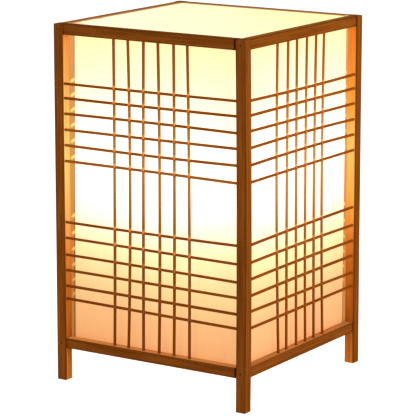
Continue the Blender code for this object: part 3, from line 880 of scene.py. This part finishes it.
class Nodes:
    """The shader nodes of a material or a world."""

    def __init__(self, owner):
        owner.use_nodes = True
        owner.node_tree.nodes.clear()
        self.owner = owner
        self.tree = owner.node_tree

    def new(self, kind, inputs=None, **settings):
        """A new node with its fields set, and its inputs set or linked."""
        made = self.tree.nodes.new("ShaderNode" + kind)
        for field, value in settings.items():
            setattr(made, field, value)
        for key, value in (inputs or {}).items():
            if isinstance(value, bpy.types.NodeSocket):
                self.tree.links.new(value, made.inputs[key])
            else:
                made.inputs[key].default_value = value
        return made

    def add(self, kind, inputs=None, output=0, **settings):
        """One output of a new node."""
        return self.new(kind, inputs, **settings).outputs[output]

    def place(self):
        """The point on the surface, in the frame that the part is modelled in."""
        return self.add("TexCoord", output="Object")

    def painted(self, name):
        """A painted value of the mesh."""
        return self.add("Attribute", output="Vector", attribute_name=name)

    def split(self, vector):
        """The three numbers of a vector."""
        return self.new("SeparateXYZ", {"Vector": vector}).outputs[:]

    def calc(self, operation, first, second=0.0):
        """A math node's value."""
        return self.add("Math", {0: first, 1: second}, operation=operation)

    def remap(self, value, old, new=UNIT, smooth=False):
        """Maps one range of numbers to another, kept within it."""
        ranges = {"From Min": old[0], "From Max": old[1], "To Min": new[0], "To Max": new[1]}
        kind = "SMOOTHSTEP" if smooth else "LINEAR"
        return self.add("MapRange", {"Value": value, **ranges}, interpolation_type=kind)

    def cloud(self, vector, scale, detail, roughness=0.55):
        """Noise with its own scale along each axis."""
        stretched = self.add("Mapping", {"Vector": vector, "Scale": scale})
        inputs = {"Vector": stretched, "Scale": 1.0, "Detail": detail, "Roughness": roughness}
        return self.add("TexNoise", inputs)

    def ramp(self, factor, stops):
        """A colour ramp through stops."""
        made = self.new("ValToRGB", {"Fac": factor})
        elements = made.color_ramp.elements
        for element, (position, *colour) in zip(elements, (stops[0], stops[-1])):
            element.position = position
            element.color = (*colour, 1)
        for position, *colour in stops[1:-1]:
            elements.new(position).color = (*colour, 1)
        return made.outputs["Color"]

    def mix(self, factor, first, second, blend="MIX"):
        """Mixes two colours, each a socket or three numbers."""
        first, second = (value if isinstance(value, bpy.types.NodeSocket) else (*value, 1)
                         for value in (first, second))
        inputs = {0: factor, 6: first, 7: second}
        return self.add("Mix", inputs, output=2, data_type="RGBA", blend_type=blend)

    def shaded(self, colour, level):
        """A colour made darker or paler by a number."""
        grey = self.add("CombineColor", {"Red": level, "Green": level, "Blue": level})
        return self.mix(1.0, colour, grey, "MULTIPLY")

    def surface(self, colour, gloss, roughness, relief, strength, more, depth=FINE_RELIEF):
        """A shader whose roughness follows a cloud, with fine relief and more inputs."""
        bump = self.add("Bump", {"Height": relief, "Strength": strength, "Distance": depth})
        rough = self.remap(gloss, CLOUD_SPAN, roughness)
        inputs = {"Base Color": colour, "Roughness": rough, "Normal": bump, **more}
        return self.add("BsdfPrincipled", inputs)

    def finish(self, shader):
        """Connects a shader to the surface and gives the material."""
        self.new("OutputMaterial", {"Surface": shader})
        return self.owner


def stops_of(places, colours):
    """Stops with these colours at these places."""
    return [(place, *colour) for place, colour in zip(places, colours)]


# Wood: tints of the outer and the lit faces along the fibres, of the accent (painted shade at the frame's
# joints, painted glints on the sticks) and of the darker edges
FRAME_TINTS = (
    ((0.150, 0.038, 0.0038), (0.215, 0.057, 0.0060), (0.290, 0.083, 0.010)),
    ((0.31, 0.082, 0.008), (0.40, 0.115, 0.014), (0.50, 0.155, 0.024)),
    (0.030, 0.006, 0.001), (0.080, 0.018, 0.0015),
)
STICK_TINTS = (
    ((0.290, 0.062, 0.0038), (0.400, 0.090, 0.0064), (0.500, 0.124, 0.011)),
    ((0.35, 0.12, 0.020), (0.48, 0.18, 0.035), (0.60, 0.26, 0.060)),
    (0.66, 0.190, 0.030), (0.220, 0.047, 0.002),
)
FIBRE_CLOUD = ((14, 620, 620), 4.0, 0.6)
FIBRE_STOPS = (0.32, 0.50, 0.68)
FIBRE_GLOW = (0.75, 1.25)
PORE_CLOUD = ((40, 2600, 2600), 2.0)
PORE_RANGE = (0.58, 0.70)
PORE_SHARE = (0.0, 0.45)
PATCH_CLOUD = ((6, 60, 60), 2.0)
PATCH_SHADE = (0.84, 1.16)
LIT_RANGE = (0.3, 0.9)
EDGE_DARK_RANGE = (0.35, 0.6)
EDGE_DARK_SHARE = (0.4, 0.85)
WOOD_ROUGHNESS = (0.72, 0.55)
WOOD_SHINE = 0.001
WOOD_SHINE_TINT = (1.0, 0.55, 0.25, 1)
WOOD_RELIEF = 0.35
WOOD_RELIEF_DEPTH = 0.0003
# Painted shade at the posts' outer edges, over this range of the edge value
POST_EDGE_SHADE_RANGE = (0.1, 0.5)

# Light of the film on the posts' inner faces by height, and its tint on the right-hand side
POST_GLOW = (
    (0.00, 0.18, 0.055, 0.007), (0.13, 0.02, 0.008, 0.000), (0.21, 0.13, 0.045, 0.004),
    (0.29, 0.23, 0.065, 0.007), (0.36, 0.42, 0.122, 0.025), (0.42, 0.58, 0.270, 0.060),
    (0.48, 0.70, 0.400, 0.100), (0.58, 0.70, 0.530, 0.138), (0.70, 0.70, 0.550, 0.150),
    (0.76, 0.70, 0.500, 0.122), (0.87, 0.68, 0.310, 0.070), (0.95, 0.64, 0.230, 0.046),
    (1.00, 0.10, 0.035, 0.006),
)
POST_SIDE_TINTS = (
    (0.30, 0.90, 0.85, 0.60), (0.46, 1.00, 0.80, 0.55), (0.66, 1.00, 0.84, 0.78),
    (0.74, 1.00, 0.62, 0.28), (0.87, 0.77, 0.52, 0.28), (1.00, 0.68, 0.60, 0.30),
)
POST_SIDE_RANGE = (-0.05, 0.05)

# The same for the rails, less low on the right-hand side, which has the more light of the studio
RAIL_GLOW = ((0.13, 0.28, 0.120, 0.034), (0.95, 0.60, 0.200, 0.040), (1.00, 0.13, 0.052, 0.016))
RAIL_SIDE_TINTS = ((0.20, 0.40, 0.53, 0.65), (0.50, 1.00, 1.00, 1.00))
RAIL_SIDE_RANGE = (0.1110, 0.1135)

# Light of the panel along the inner rim of the top rails, less on the back and left ones
RIM_RANGE = (0.1138, 0.1158)
RIM_GLOW = ((0.50, 0.00, 0.00, 0.00), (1.00, 0.80, 0.74, 0.42))
NEAR_RANGE = (0.108, 0.112)
FAR_RIM_SHARE = 0.18

# Painted light and shade on the sticks by height: painted shade at the foot and painted light near the
# bulb, but for the right-hand side
STICK_SHADE_PLAIN = 0.49
STICK_SHADE_RANGE = (0.116, 0.119)
STICK_SHADES = (
    (0.17, 0.72, 0.72, 0.72), (STICK_SHADE_PLAIN, 1.00, 1.00, 1.00), (0.60, 1.45, 1.95, 2.80),
    (0.65, 1.45, 1.95, 2.80), (0.72, 1.15, 1.30, 1.80), (0.82, 1.00, 1.00, 1.00),
)
# Colour of the painted glow of the lamp on the sticks
STICK_GLOW_COLOUR = (0.66, 0.330, 0.075)
STICK_TRANSLUCENCY = 0.12
# Light of the painted glints, and of the painted glow just above each level stick
SPOT_RANGE = (0.6, 1.0)
SPOT_GLOW = (0.50, 0.16, 0.045)
LEDGE_RANGE = (-0.7, -1.0)
LEDGE_GLOW = (0.28, 0.13, 0.04)


def wood_colour(nodes, outer, inner, accent, dark_edge, edge_shade_range=None, tint=None, glow_colour=None):
    """Stained wood: fibres and pores along the grain, lit inner faces, darker edges, painted shade at the
    edges of the lit faces, and the accent's painted light and shade.
    """
    grain = nodes.painted("grain")
    edge, inward, crossing = nodes.split(nodes.painted("paint"))
    fibre = nodes.cloud(grain, *FIBRE_CLOUD)
    patches = nodes.cloud(grain, *PATCH_CLOUD)
    pores = nodes.remap(nodes.cloud(grain, *PORE_CLOUD), PORE_RANGE, PORE_SHARE, smooth=True)
    lit_share = nodes.remap(inward, LIT_RANGE, smooth=True)
    # Painted shade: the lit colour and the glow fade out towards the outer edges of the lit faces
    if edge_shade_range:
        lit_share = nodes.calc("MULTIPLY", lit_share, nodes.remap(edge, edge_shade_range, (1, 0)))
    face, lit = (nodes.ramp(fibre, stops_of(FIBRE_STOPS, tints)) for tints in (outer, inner))
    colour = nodes.mix(lit_share, face, lit)
    colour = nodes.shaded(colour, nodes.remap(patches, CLOUD_SPAN, PATCH_SHADE))
    # Painted light and shade by height on the sticks
    if tint:
        colour = nodes.mix(1.0, colour, tint, "MULTIPLY")
    colour = nodes.mix(pores, colour, outer[0])
    # Darker along the edges, patchily
    darker_edge = nodes.calc("MULTIPLY", edge, nodes.remap(patches, EDGE_DARK_RANGE, EDGE_DARK_SHARE))
    colour = nodes.mix(darker_edge, colour, dark_edge)
    # Painted glints where the sticks cross, and painted shade at the rails' joints
    colour = nodes.mix(crossing, colour, accent)
    # Painted glow of the lamp on the sticks, where the accent is below zero
    if glow_colour:
        colour = nodes.mix(nodes.remap(crossing, (0, -1)), colour, glow_colour)
    return colour, fibre, pores, lit_share


def wood_shader(nodes, colour, fibre, pores, glow):
    """Dull wood with open pores, which gives off a colour."""
    relief = nodes.calc("SUBTRACT", fibre, pores)
    more = {"Specular IOR Level": WOOD_SHINE, "Specular Tint": WOOD_SHINE_TINT,
            "Emission Color": glow, "Emission Strength": 1.0}
    return nodes.surface(colour, fibre, WOOD_ROUGHNESS, relief, WOOD_RELIEF, more, WOOD_RELIEF_DEPTH)


def frame_wood(name, glow_stops, side_tints, side_range, edge_shade_range=None, rim_stops=None):
    """Wood of the posts or the rails, whose inner faces show the light of the film."""
    nodes = Nodes(bpy.data.materials.new(name))
    colour, fibre, pores, lit_share = wood_colour(nodes, *FRAME_TINTS, edge_shade_range=edge_shade_range)
    x, y, z = nodes.split(nodes.place())
    height = nodes.remap(z, (0, CAD_BOX[1].z))
    glow = nodes.ramp(height, glow_stops)
    tinted = nodes.mix(1.0, glow, nodes.ramp(height, side_tints), "MULTIPLY")
    glow = nodes.mix(nodes.remap(x, side_range), glow, tinted)
    if rim_stops:
        reach = nodes.calc("MAXIMUM", nodes.calc("ABSOLUTE", x), nodes.calc("ABSOLUTE", y))
        near = nodes.calc("MAXIMUM", x, nodes.calc("MULTIPLY", y, -1))
        rim = nodes.calc("MULTIPLY", nodes.remap(reach, RIM_RANGE, (1, 0)),
                         nodes.remap(near, NEAR_RANGE, (FAR_RIM_SHARE, 1)))
        glow = nodes.mix(rim, glow, nodes.ramp(height, rim_stops), "ADD")
    level = nodes.calc("MULTIPLY", lit_share, nodes.remap(fibre, CLOUD_SPAN, FIBRE_GLOW))
    glow = nodes.mix(level, BLACK, glow)
    return nodes.finish(wood_shader(nodes, colour, fibre, pores, glow))


def stick_wood():
    """Wood of the sticks, with painted glints where they cross, painted light and shade by height and
    painted glow near the bulb and above each level stick; it lets a little light through.
    """
    nodes = Nodes(bpy.data.materials.new("stick_wood_grain_painted_light_and_shade"))
    x, _, z = nodes.split(nodes.place())
    height = nodes.remap(z, (0, CAD_BOX[1].z))
    # Painted shade and light by height: darker at the foot, paler near the bulb, but for the right-hand
    # side
    most = nodes.remap(x, STICK_SHADE_RANGE, (1, STICK_SHADE_PLAIN))
    tint = nodes.ramp(nodes.calc("MINIMUM", height, most), STICK_SHADES)
    colour, fibre, pores, _ = wood_colour(nodes, *STICK_TINTS, tint=tint, glow_colour=STICK_GLOW_COLOUR)
    _, _, crossing = nodes.split(nodes.painted("paint"))
    glow = nodes.mix(nodes.remap(crossing, SPOT_RANGE, smooth=True), BLACK, SPOT_GLOW)
    glow = nodes.mix(nodes.remap(crossing, LEDGE_RANGE, smooth=True), glow, LEDGE_GLOW)
    wood = wood_shader(nodes, colour, fibre, pores, glow)
    through = nodes.add("BsdfTranslucent", {"Color": colour})
    return nodes.finish(nodes.add("MixShader", {0: STICK_TRANSLUCENCY, 1: wood, 2: through}))


# Film: its glow by height, as shares of its strength
FILM_STRENGTH = 2.0
FILM_BASE = (0.27, 0.125, 0.05, 1)
FILM_SHINE = 0.2
FILM_ROUGHNESS = (0.48, 0.62)
FILM_RELIEF = 0.12
FILM_CENTRE = 0.25
FILM_ROUNDNESS = (0.31, 0.42)
FILM_ROUND_RANGE = (-0.02, 0.02)
FILM_DRIFT_CLOUD = ((9, 9, 9), 2.0)
FILM_DRIFT = (-0.012, 0.012)
FILM_FALL = (1.06, 0.96)
FILM_MOTTLE_CLOUD = ((160, 160, 45), 3.0)
FILM_MOTTLE = (0.96, 1.04)
FILM_FIBRE_CLOUD = ((900, 900, 220), 3.0)
FILM_GLOW = (
    (0.00, 0.355, 0.154, 0.057), (0.11, 0.395, 0.207, 0.084), (0.21, 0.430, 0.319, 0.138),
    (0.31, 0.490, 0.435, 0.226), (0.37, 0.580, 0.495, 0.330), (0.43, 0.690, 0.590, 0.460),
    (0.58, 0.800, 0.730, 0.640), (0.76, 0.700, 0.640, 0.470), (0.86, 0.620, 0.550, 0.350),
    (1.00, 0.530, 0.470, 0.228),
)
# Inner edge of the painted shadow of the corner batten, a tan strip, at the film's start and end, at the
# foot and at the head
BATTEN_SHADOW_EDGES = ((0.1087, 0.1050), (0.1082, 0.1098))
BATTEN_SHADOW_BLUR = (-0.0003, 0.0003)
SHADOW_LINE_DEPTH = 0.0007
SHADOW_LINE_RANGE = (0.0004, 0.0014)
# Colours of the batten's painted shadow and of the darker painted line at its inner edge, by height
BATTEN_SHADOW_GLOW = (
    (0.00, 0.190, 0.069, 0.007), (0.30, 0.215, 0.084, 0.014),
    (0.55, 0.245, 0.107, 0.026), (1.00, 0.265, 0.127, 0.041),
)
SHADOW_LINE_GLOW = (
    (0.00, 0.015, 0.006, 0.000), (0.30, 0.060, 0.030, 0.004),
    (0.55, 0.180, 0.088, 0.022), (1.00, 0.200, 0.105, 0.038),
)
LEAK_GLOW = ((0.10, 0.400, 0.210, 0.045), (0.45, 0.450, 0.385, 0.100), (0.80, 0.450, 0.400, 0.115))


def film_glow(nodes, place, reach, box):
    """Glow of the film: rings of colour about the bulb's height, a little uneven."""
    low, high = box
    rise = nodes.calc("SUBTRACT", nodes.split(place)[2], FILM_CENTRE)
    aside = nodes.calc("MULTIPLY", reach, nodes.remap(rise, FILM_ROUND_RANGE, FILM_ROUNDNESS))
    squares = nodes.calc("ADD", nodes.calc("MULTIPLY", rise, rise), nodes.calc("MULTIPLY", aside, aside))
    span = nodes.calc("MULTIPLY", nodes.calc("SIGN", rise), nodes.calc("SQRT", squares))
    height = nodes.remap(span, (low.z - FILM_CENTRE, high.z - FILM_CENTRE))
    drift = nodes.remap(nodes.cloud(place, *FILM_DRIFT_CLOUD), CLOUD_SPAN, FILM_DRIFT)
    glow = nodes.ramp(nodes.calc("ADD", height, drift), FILM_GLOW)
    fall = nodes.remap(reach, (0, high.x), FILM_FALL)
    mottle = nodes.remap(nodes.cloud(place, *FILM_MOTTLE_CLOUD), CLOUD_SPAN, FILM_MOTTLE)
    return nodes.shaded(glow, nodes.calc("MULTIPLY", fall, mottle))


def film_material():
    """Cream film lit from inside: glow by height, a painted shadow of the corner batten (a tan strip with a
    darker painted line along its inner edge), light patches.
    """
    nodes = Nodes(bpy.data.materials.new("shade_film_lit"))
    low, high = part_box("film_front")
    place = nodes.place()
    across, _, patches = nodes.split(nodes.painted("paint"))
    height = nodes.remap(nodes.split(place)[2], (low.z, high.z))
    glow = film_glow(nodes, place, nodes.calc("ABSOLUTE", across), (low, high))
    # Painted shadow of the corner batten behind the film: a tan strip, with a darker painted line along its
    # inner edge
    start_edge, end_edge = (nodes.remap(height, UNIT, edges) for edges in BATTEN_SHADOW_EDGES)
    depth = nodes.calc("MAXIMUM", nodes.calc("SUBTRACT", across, end_edge),
                       nodes.calc("SUBTRACT", nodes.calc("MULTIPLY", across, -1), start_edge))
    batten_shadow = nodes.remap(depth, BATTEN_SHADOW_BLUR, smooth=True)
    distance = nodes.calc("ABSOLUTE", nodes.calc("SUBTRACT", depth, SHADOW_LINE_DEPTH))
    line = nodes.remap(distance, SHADOW_LINE_RANGE, (1, 0), smooth=True)
    patch = nodes.calc("MULTIPLY", patches, batten_shadow)
    for share, stops in ((batten_shadow, BATTEN_SHADOW_GLOW), (line, SHADOW_LINE_GLOW), (patch, LEAK_GLOW)):
        glow = nodes.mix(share, glow, nodes.ramp(height, stops))
    fibres = nodes.cloud(place, *FILM_FIBRE_CLOUD)
    more = {"Specular IOR Level": FILM_SHINE, "Emission Color": glow, "Emission Strength": FILM_STRENGTH}
    return nodes.finish(nodes.surface(FILM_BASE, fibres, FILM_ROUGHNESS, fibres, FILM_RELIEF, more))


# Top panel: its glow from the near to the far corner, and its painted spots of light, as (x, y, spread)
PANEL_BASE = (0.30, 0.26, 0.16, 1)
PANEL_GLOW = ((0.0, 0.80, 0.84, 0.54), (0.5, 0.80, 0.83, 0.46), (1.0, 0.78, 0.82, 0.29))
PANEL_SPAN = (-0.2, 0.2)
PANEL_DRIFT_CLOUD = ((12, 12, 12), 2.0)
PANEL_DRIFT = (-0.03, 0.03)
PANEL_MOTTLE_CLOUD = ((160, 160, 160), 3.0)
PANEL_MOTTLE = (0.97, 1.03)
PANEL_ROUGHNESS = (0.5, 0.62)
PANEL_RELIEF = 0.1
PANEL_LEAKS = ((-0.1125, -0.1125, 0.023), (-0.1125, -0.056, 0.008))
PANEL_LEAK_GLOW = (0.76, 0.40, 0.14)
PANEL_LEAK_CORE = 0.3


def panel_material():
    """The top panel's film: an even cream glow, yellower towards the far corner."""
    nodes = Nodes(bpy.data.materials.new("top_panel_lit"))
    place = nodes.place()
    x, y, _ = nodes.split(place)
    drift = nodes.remap(nodes.cloud(place, *PANEL_DRIFT_CLOUD), CLOUD_SPAN, PANEL_DRIFT)
    diagonal = nodes.calc("ADD", nodes.calc("ADD", x, y), drift)
    glow = nodes.ramp(nodes.remap(diagonal, PANEL_SPAN), PANEL_GLOW)
    # Painted spots of light at the front left corner and along the left-hand edge
    for leak_x, leak_y, spread in PANEL_LEAKS:
        spot = (leak_x, leak_y, CAD_BOX[1].z)
        distance = nodes.add("VectorMath", {0: place, 1: spot}, output="Value", operation="DISTANCE")
        painted_glow = nodes.remap(distance, (PANEL_LEAK_CORE * spread, spread), (1, 0), smooth=True)
        glow = nodes.mix(painted_glow, glow, PANEL_LEAK_GLOW)
    mottle = nodes.cloud(place, *PANEL_MOTTLE_CLOUD)
    glow = nodes.shaded(glow, nodes.remap(mottle, CLOUD_SPAN, PANEL_MOTTLE))
    more = {"Specular IOR Level": FILM_SHINE, "Emission Color": glow, "Emission Strength": 1.0}
    return nodes.finish(nodes.surface(PANEL_BASE, mottle, PANEL_ROUGHNESS, mottle, PANEL_RELIEF, more))


# Metals and mouldings: tint, edge tint (a painted highlight, on the metals also metal bared by use; darker
# on the ceramic), roughness, metallic, cloud and strength of relief, shine
IRON = ((900, 900, 900), 3.0)
DRAWN = ((300, 300, 3000), 3.0)
FIRED = ((1500, 1500, 1500), 3.0)
MOULDED = ((2200, 2200, 2200), 3.0)
FITTINGS = {
    "blackened_iron": ((0.030, 0.010, 0.003), (0.05, 0.02, 0.01), 0.7, 0.0, IRON, 0.2, 0.03),
    "dark_steel_drawn": ((0.16, 0.14, 0.12), (0.42, 0.40, 0.37), 0.38, 1.0, DRAWN, 0.2, 0.5),
    "brass_pressed": ((0.72, 0.52, 0.22), (0.86, 0.68, 0.36), 0.33, 1.0, DRAWN, 0.12, 0.5),
    "aluminium_pressed": ((0.75, 0.75, 0.76), (0.88, 0.88, 0.88), 0.32, 1.0, DRAWN, 0.1, 0.5),
    "white_ceramic_fired": ((0.80, 0.78, 0.73), (0.70, 0.67, 0.61), 0.5, 0.0, FIRED, 0.15, 0.5),
    "black_plastic_moulded": ((0.020, 0.020, 0.021), (0.06, 0.06, 0.06), 0.42, 0.0, MOULDED, 0.12, 0.5),
    "white_plastic_moulded": ((0.80, 0.79, 0.76), (0.85, 0.84, 0.82), 0.42, 0.0, MOULDED, 0.1, 0.5),
}
FITTING_CLOUD = ((120, 120, 120), 4.0)
FITTING_STOPS = (0.3, 0.5, 0.7)
FITTING_TONES = (0.8, 1.0, 1.15)
FITTING_EDGE_RANGE = (0.4, 0.6)
FITTING_EDGE_SHARE = (0.1, 0.6)
FITTING_GLOSS = (-0.08, 0.1)
# Small hidden pieces that keep their plain shape
NODE_FINISHES = {
    "holder_insert": "white_ceramic_fired",
    "holder_contact": "brass_pressed",
    "bulb_contact": "brass_pressed",
    "bulb_insulator": "black_plastic_moulded",
    "bulb_led_board": "aluminium_pressed",
}


def fitting_material(name, colour, edge_tint, roughness, metallic, grain, relief, shine):
    """Metal or moulded plastic: mottled tint and gloss, fine relief, and edges in another tint, a painted
    highlight, on the metals also metal bared by use.
    """
    nodes = Nodes(bpy.data.materials.new(name))
    place = nodes.place()
    edge = nodes.split(nodes.painted("paint"))[0]
    broad = nodes.cloud(place, *FITTING_CLOUD)
    tones = [[min(1.0, channel * tone) for channel in colour] for tone in FITTING_TONES]
    tint = nodes.ramp(broad, stops_of(FITTING_STOPS, tones))
    # Painted highlight along the edges; on the metals also metal bared by use
    edge_mark = nodes.calc("MULTIPLY", edge, nodes.remap(broad, FITTING_EDGE_RANGE, FITTING_EDGE_SHARE))
    gloss = [roughness + change for change in FITTING_GLOSS]
    more = {"Metallic": metallic, "Specular IOR Level": shine}
    fine = nodes.cloud(place, *grain)
    return nodes.finish(nodes.surface(nodes.mix(edge_mark, tint, edge_tint), broad, gloss, fine, relief, more))


# Opal dome of the bulb: its glow from the rim to the crown
OPAL_GLOW = ((0.0, 0.80, 0.58, 0.30), (0.4, 1.0, 0.86, 0.58), (1.0, 1.0, 0.93, 0.72))
OPAL_STRENGTH = 1.5
OPAL_BASE = (0.82, 0.78, 0.68, 1)
OPAL_CLOUD = ((400, 400, 400), 3.0)
OPAL_DRIFT = (-0.03, 0.03)
OPAL_ROUGHNESS = (0.3, 0.42)
OPAL_RELIEF = 0.08


def opal_material():
    """Opal plastic, lit from inside and brightest at its crown."""
    nodes = Nodes(bpy.data.materials.new("opal_diffuser_lit"))
    low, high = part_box("bulb_diffuser")
    place = nodes.place()
    mottle = nodes.cloud(place, *OPAL_CLOUD)
    share = nodes.calc("ADD", nodes.remap(nodes.split(place)[2], (low.z, high.z)),
                       nodes.remap(mottle, CLOUD_SPAN, OPAL_DRIFT))
    more = {"Emission Color": nodes.ramp(share, OPAL_GLOW), "Emission Strength": OPAL_STRENGTH}
    return nodes.finish(nodes.surface(OPAL_BASE, mottle, OPAL_ROUGHNESS, mottle, OPAL_RELIEF, more))


# Studio

CAMERA_PLACE = (1.3885, -2.1383, 0.7365)
CAMERA_TURN = (math.radians(90 - 12.07), 0, math.radians(33.05))
CAMERA_LENS = 198.15
WORLD_LIGHT = 0.45
FLOOR_SIZE = 40.0
FLOOR_COLOUR = (0.82, 0.82, 0.82, 1)
FLOOR_LIFT = 0.80
# Soft square lights: place, size and power
LIGHTS = {
    "key_light": ((2.3, -0.3, 1.1), 1.6, 44),
    "fill_light": ((-0.8, -2.2, 1.0), 1.6, 13),
}


def build_camera():
    """The photograph's viewpoint."""
    camera = bpy.data.objects.new("camera", bpy.data.cameras.new("camera"))
    camera.data.lens = CAMERA_LENS
    camera.location = CAMERA_PLACE
    camera.rotation_euler = CAMERA_TURN
    bpy.context.scene.collection.objects.link(camera)
    bpy.context.scene.camera = camera


def seen_directly(nodes):
    """One for rays that show the background: from the camera, in gloss and through glass."""
    path = nodes.new("LightPath").outputs
    seen = nodes.calc("MAXIMUM", path["Is Camera Ray"], path["Is Glossy Ray"])
    return nodes.calc("MAXIMUM", seen, path["Is Transmission Ray"])


def build_world():
    """White where it is seen, and a dimmer even light on everything."""
    nodes = Nodes(bpy.data.worlds.new("studio"))
    strength = nodes.remap(seen_directly(nodes), UNIT, (WORLD_LIGHT, 1))
    background = nodes.add("Background", {"Color": (1, 1, 1, 1), "Strength": strength})
    nodes.new("OutputWorld", {"Surface": background})
    bpy.context.scene.world = nodes.owner


def build_floor():
    """Pale floor that keeps a faint shadow and is clear from below."""
    nodes = Nodes(bpy.data.materials.new("studio_floor"))
    diffuse = nodes.add("BsdfDiffuse", {"Color": FLOOR_COLOUR})
    lift = nodes.remap(seen_directly(nodes), UNIT, (0, FLOOR_LIFT))
    lit = nodes.add("AddShader", {0: diffuse, 1: nodes.add("Emission", {"Strength": lift})})
    clear = nodes.add("BsdfTransparent")
    below = nodes.add("NewGeometry", output="Backfacing")
    half = FLOOR_SIZE / 2
    mesh = bpy.data.meshes.new("studio_floor")
    corners = [(x * half, y * half, 0) for x, y in ((-1, -1), (1, -1), (1, 1), (-1, 1))]
    mesh.from_pydata(corners, [], [(0, 1, 2, 3)])
    mesh.materials.append(nodes.finish(nodes.add("MixShader", {0: below, 1: lit, 2: clear})))
    floor = bpy.data.objects.new("studio_floor", mesh)
    bpy.context.scene.collection.objects.link(floor)


def build_light(name, place, size, power):
    """A soft square light that looks at the middle of the lamp."""
    light = bpy.data.lights.new(name, "AREA")
    light.size = size
    light.energy = power
    lamp = bpy.data.objects.new(name, light)
    lamp.location = place
    aim = (CAD_BOX[0] + CAD_BOX[1]) / 2 - Vector(place)
    lamp.rotation_euler = aim.to_track_quat("-Z", "Y").to_euler()
    bpy.context.scene.collection.objects.link(lamp)


def build_studio():
    """Camera, background, floor and lights."""
    bpy.context.scene.view_settings.view_transform = "Standard"
    build_camera()
    build_world()
    build_floor()
    for name, values in LIGHTS.items():
        build_light(name, *values)


def build_shade():
    """Frame, battens, crossbar, lattice, films and top panel."""
    posts = frame_wood("post_wood_stained_painted_light_and_shade", POST_GLOW, POST_SIDE_TINTS, POST_SIDE_RANGE, POST_EDGE_SHADE_RANGE)
    rails = frame_wood("rail_wood_stained_painted_light_and_shade", RAIL_GLOW, RAIL_SIDE_TINTS, RAIL_SIDE_RANGE, rim_stops=RIM_GLOW)
    sticks = stick_wood()
    film = film_material()
    build_posts(posts)
    build_rails(rails)
    build_slats(sticks)
    for side in SIDES:
        build_lattice(side, sticks)
        build_film(side, film)
    build_top_panel(panel_material())


def build_fittings():
    """Pins, tube, lampholder and bulb."""
    finishes = {name: fitting_material(name, *values) for name, values in FITTINGS.items()}
    black_plastic = finishes["black_plastic_moulded"]
    build_pins(finishes["blackened_iron"])
    build_riser(finishes["dark_steel_drawn"], black_plastic)
    build_holder_cap(black_plastic)
    build_holder_body(black_plastic)
    build_holder_shell(finishes["brass_pressed"])
    build_bulb_cap(finishes["aluminium_pressed"])
    build_bulb_housing(finishes["white_plastic_moulded"])
    build_bulb_dome(opal_material())
    for node, finish in NODE_FINISHES.items():
        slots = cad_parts[node].data.materials
        slots.clear()
        slots.append(finishes[finish])


build_studio()
build_shade()
build_fittings()
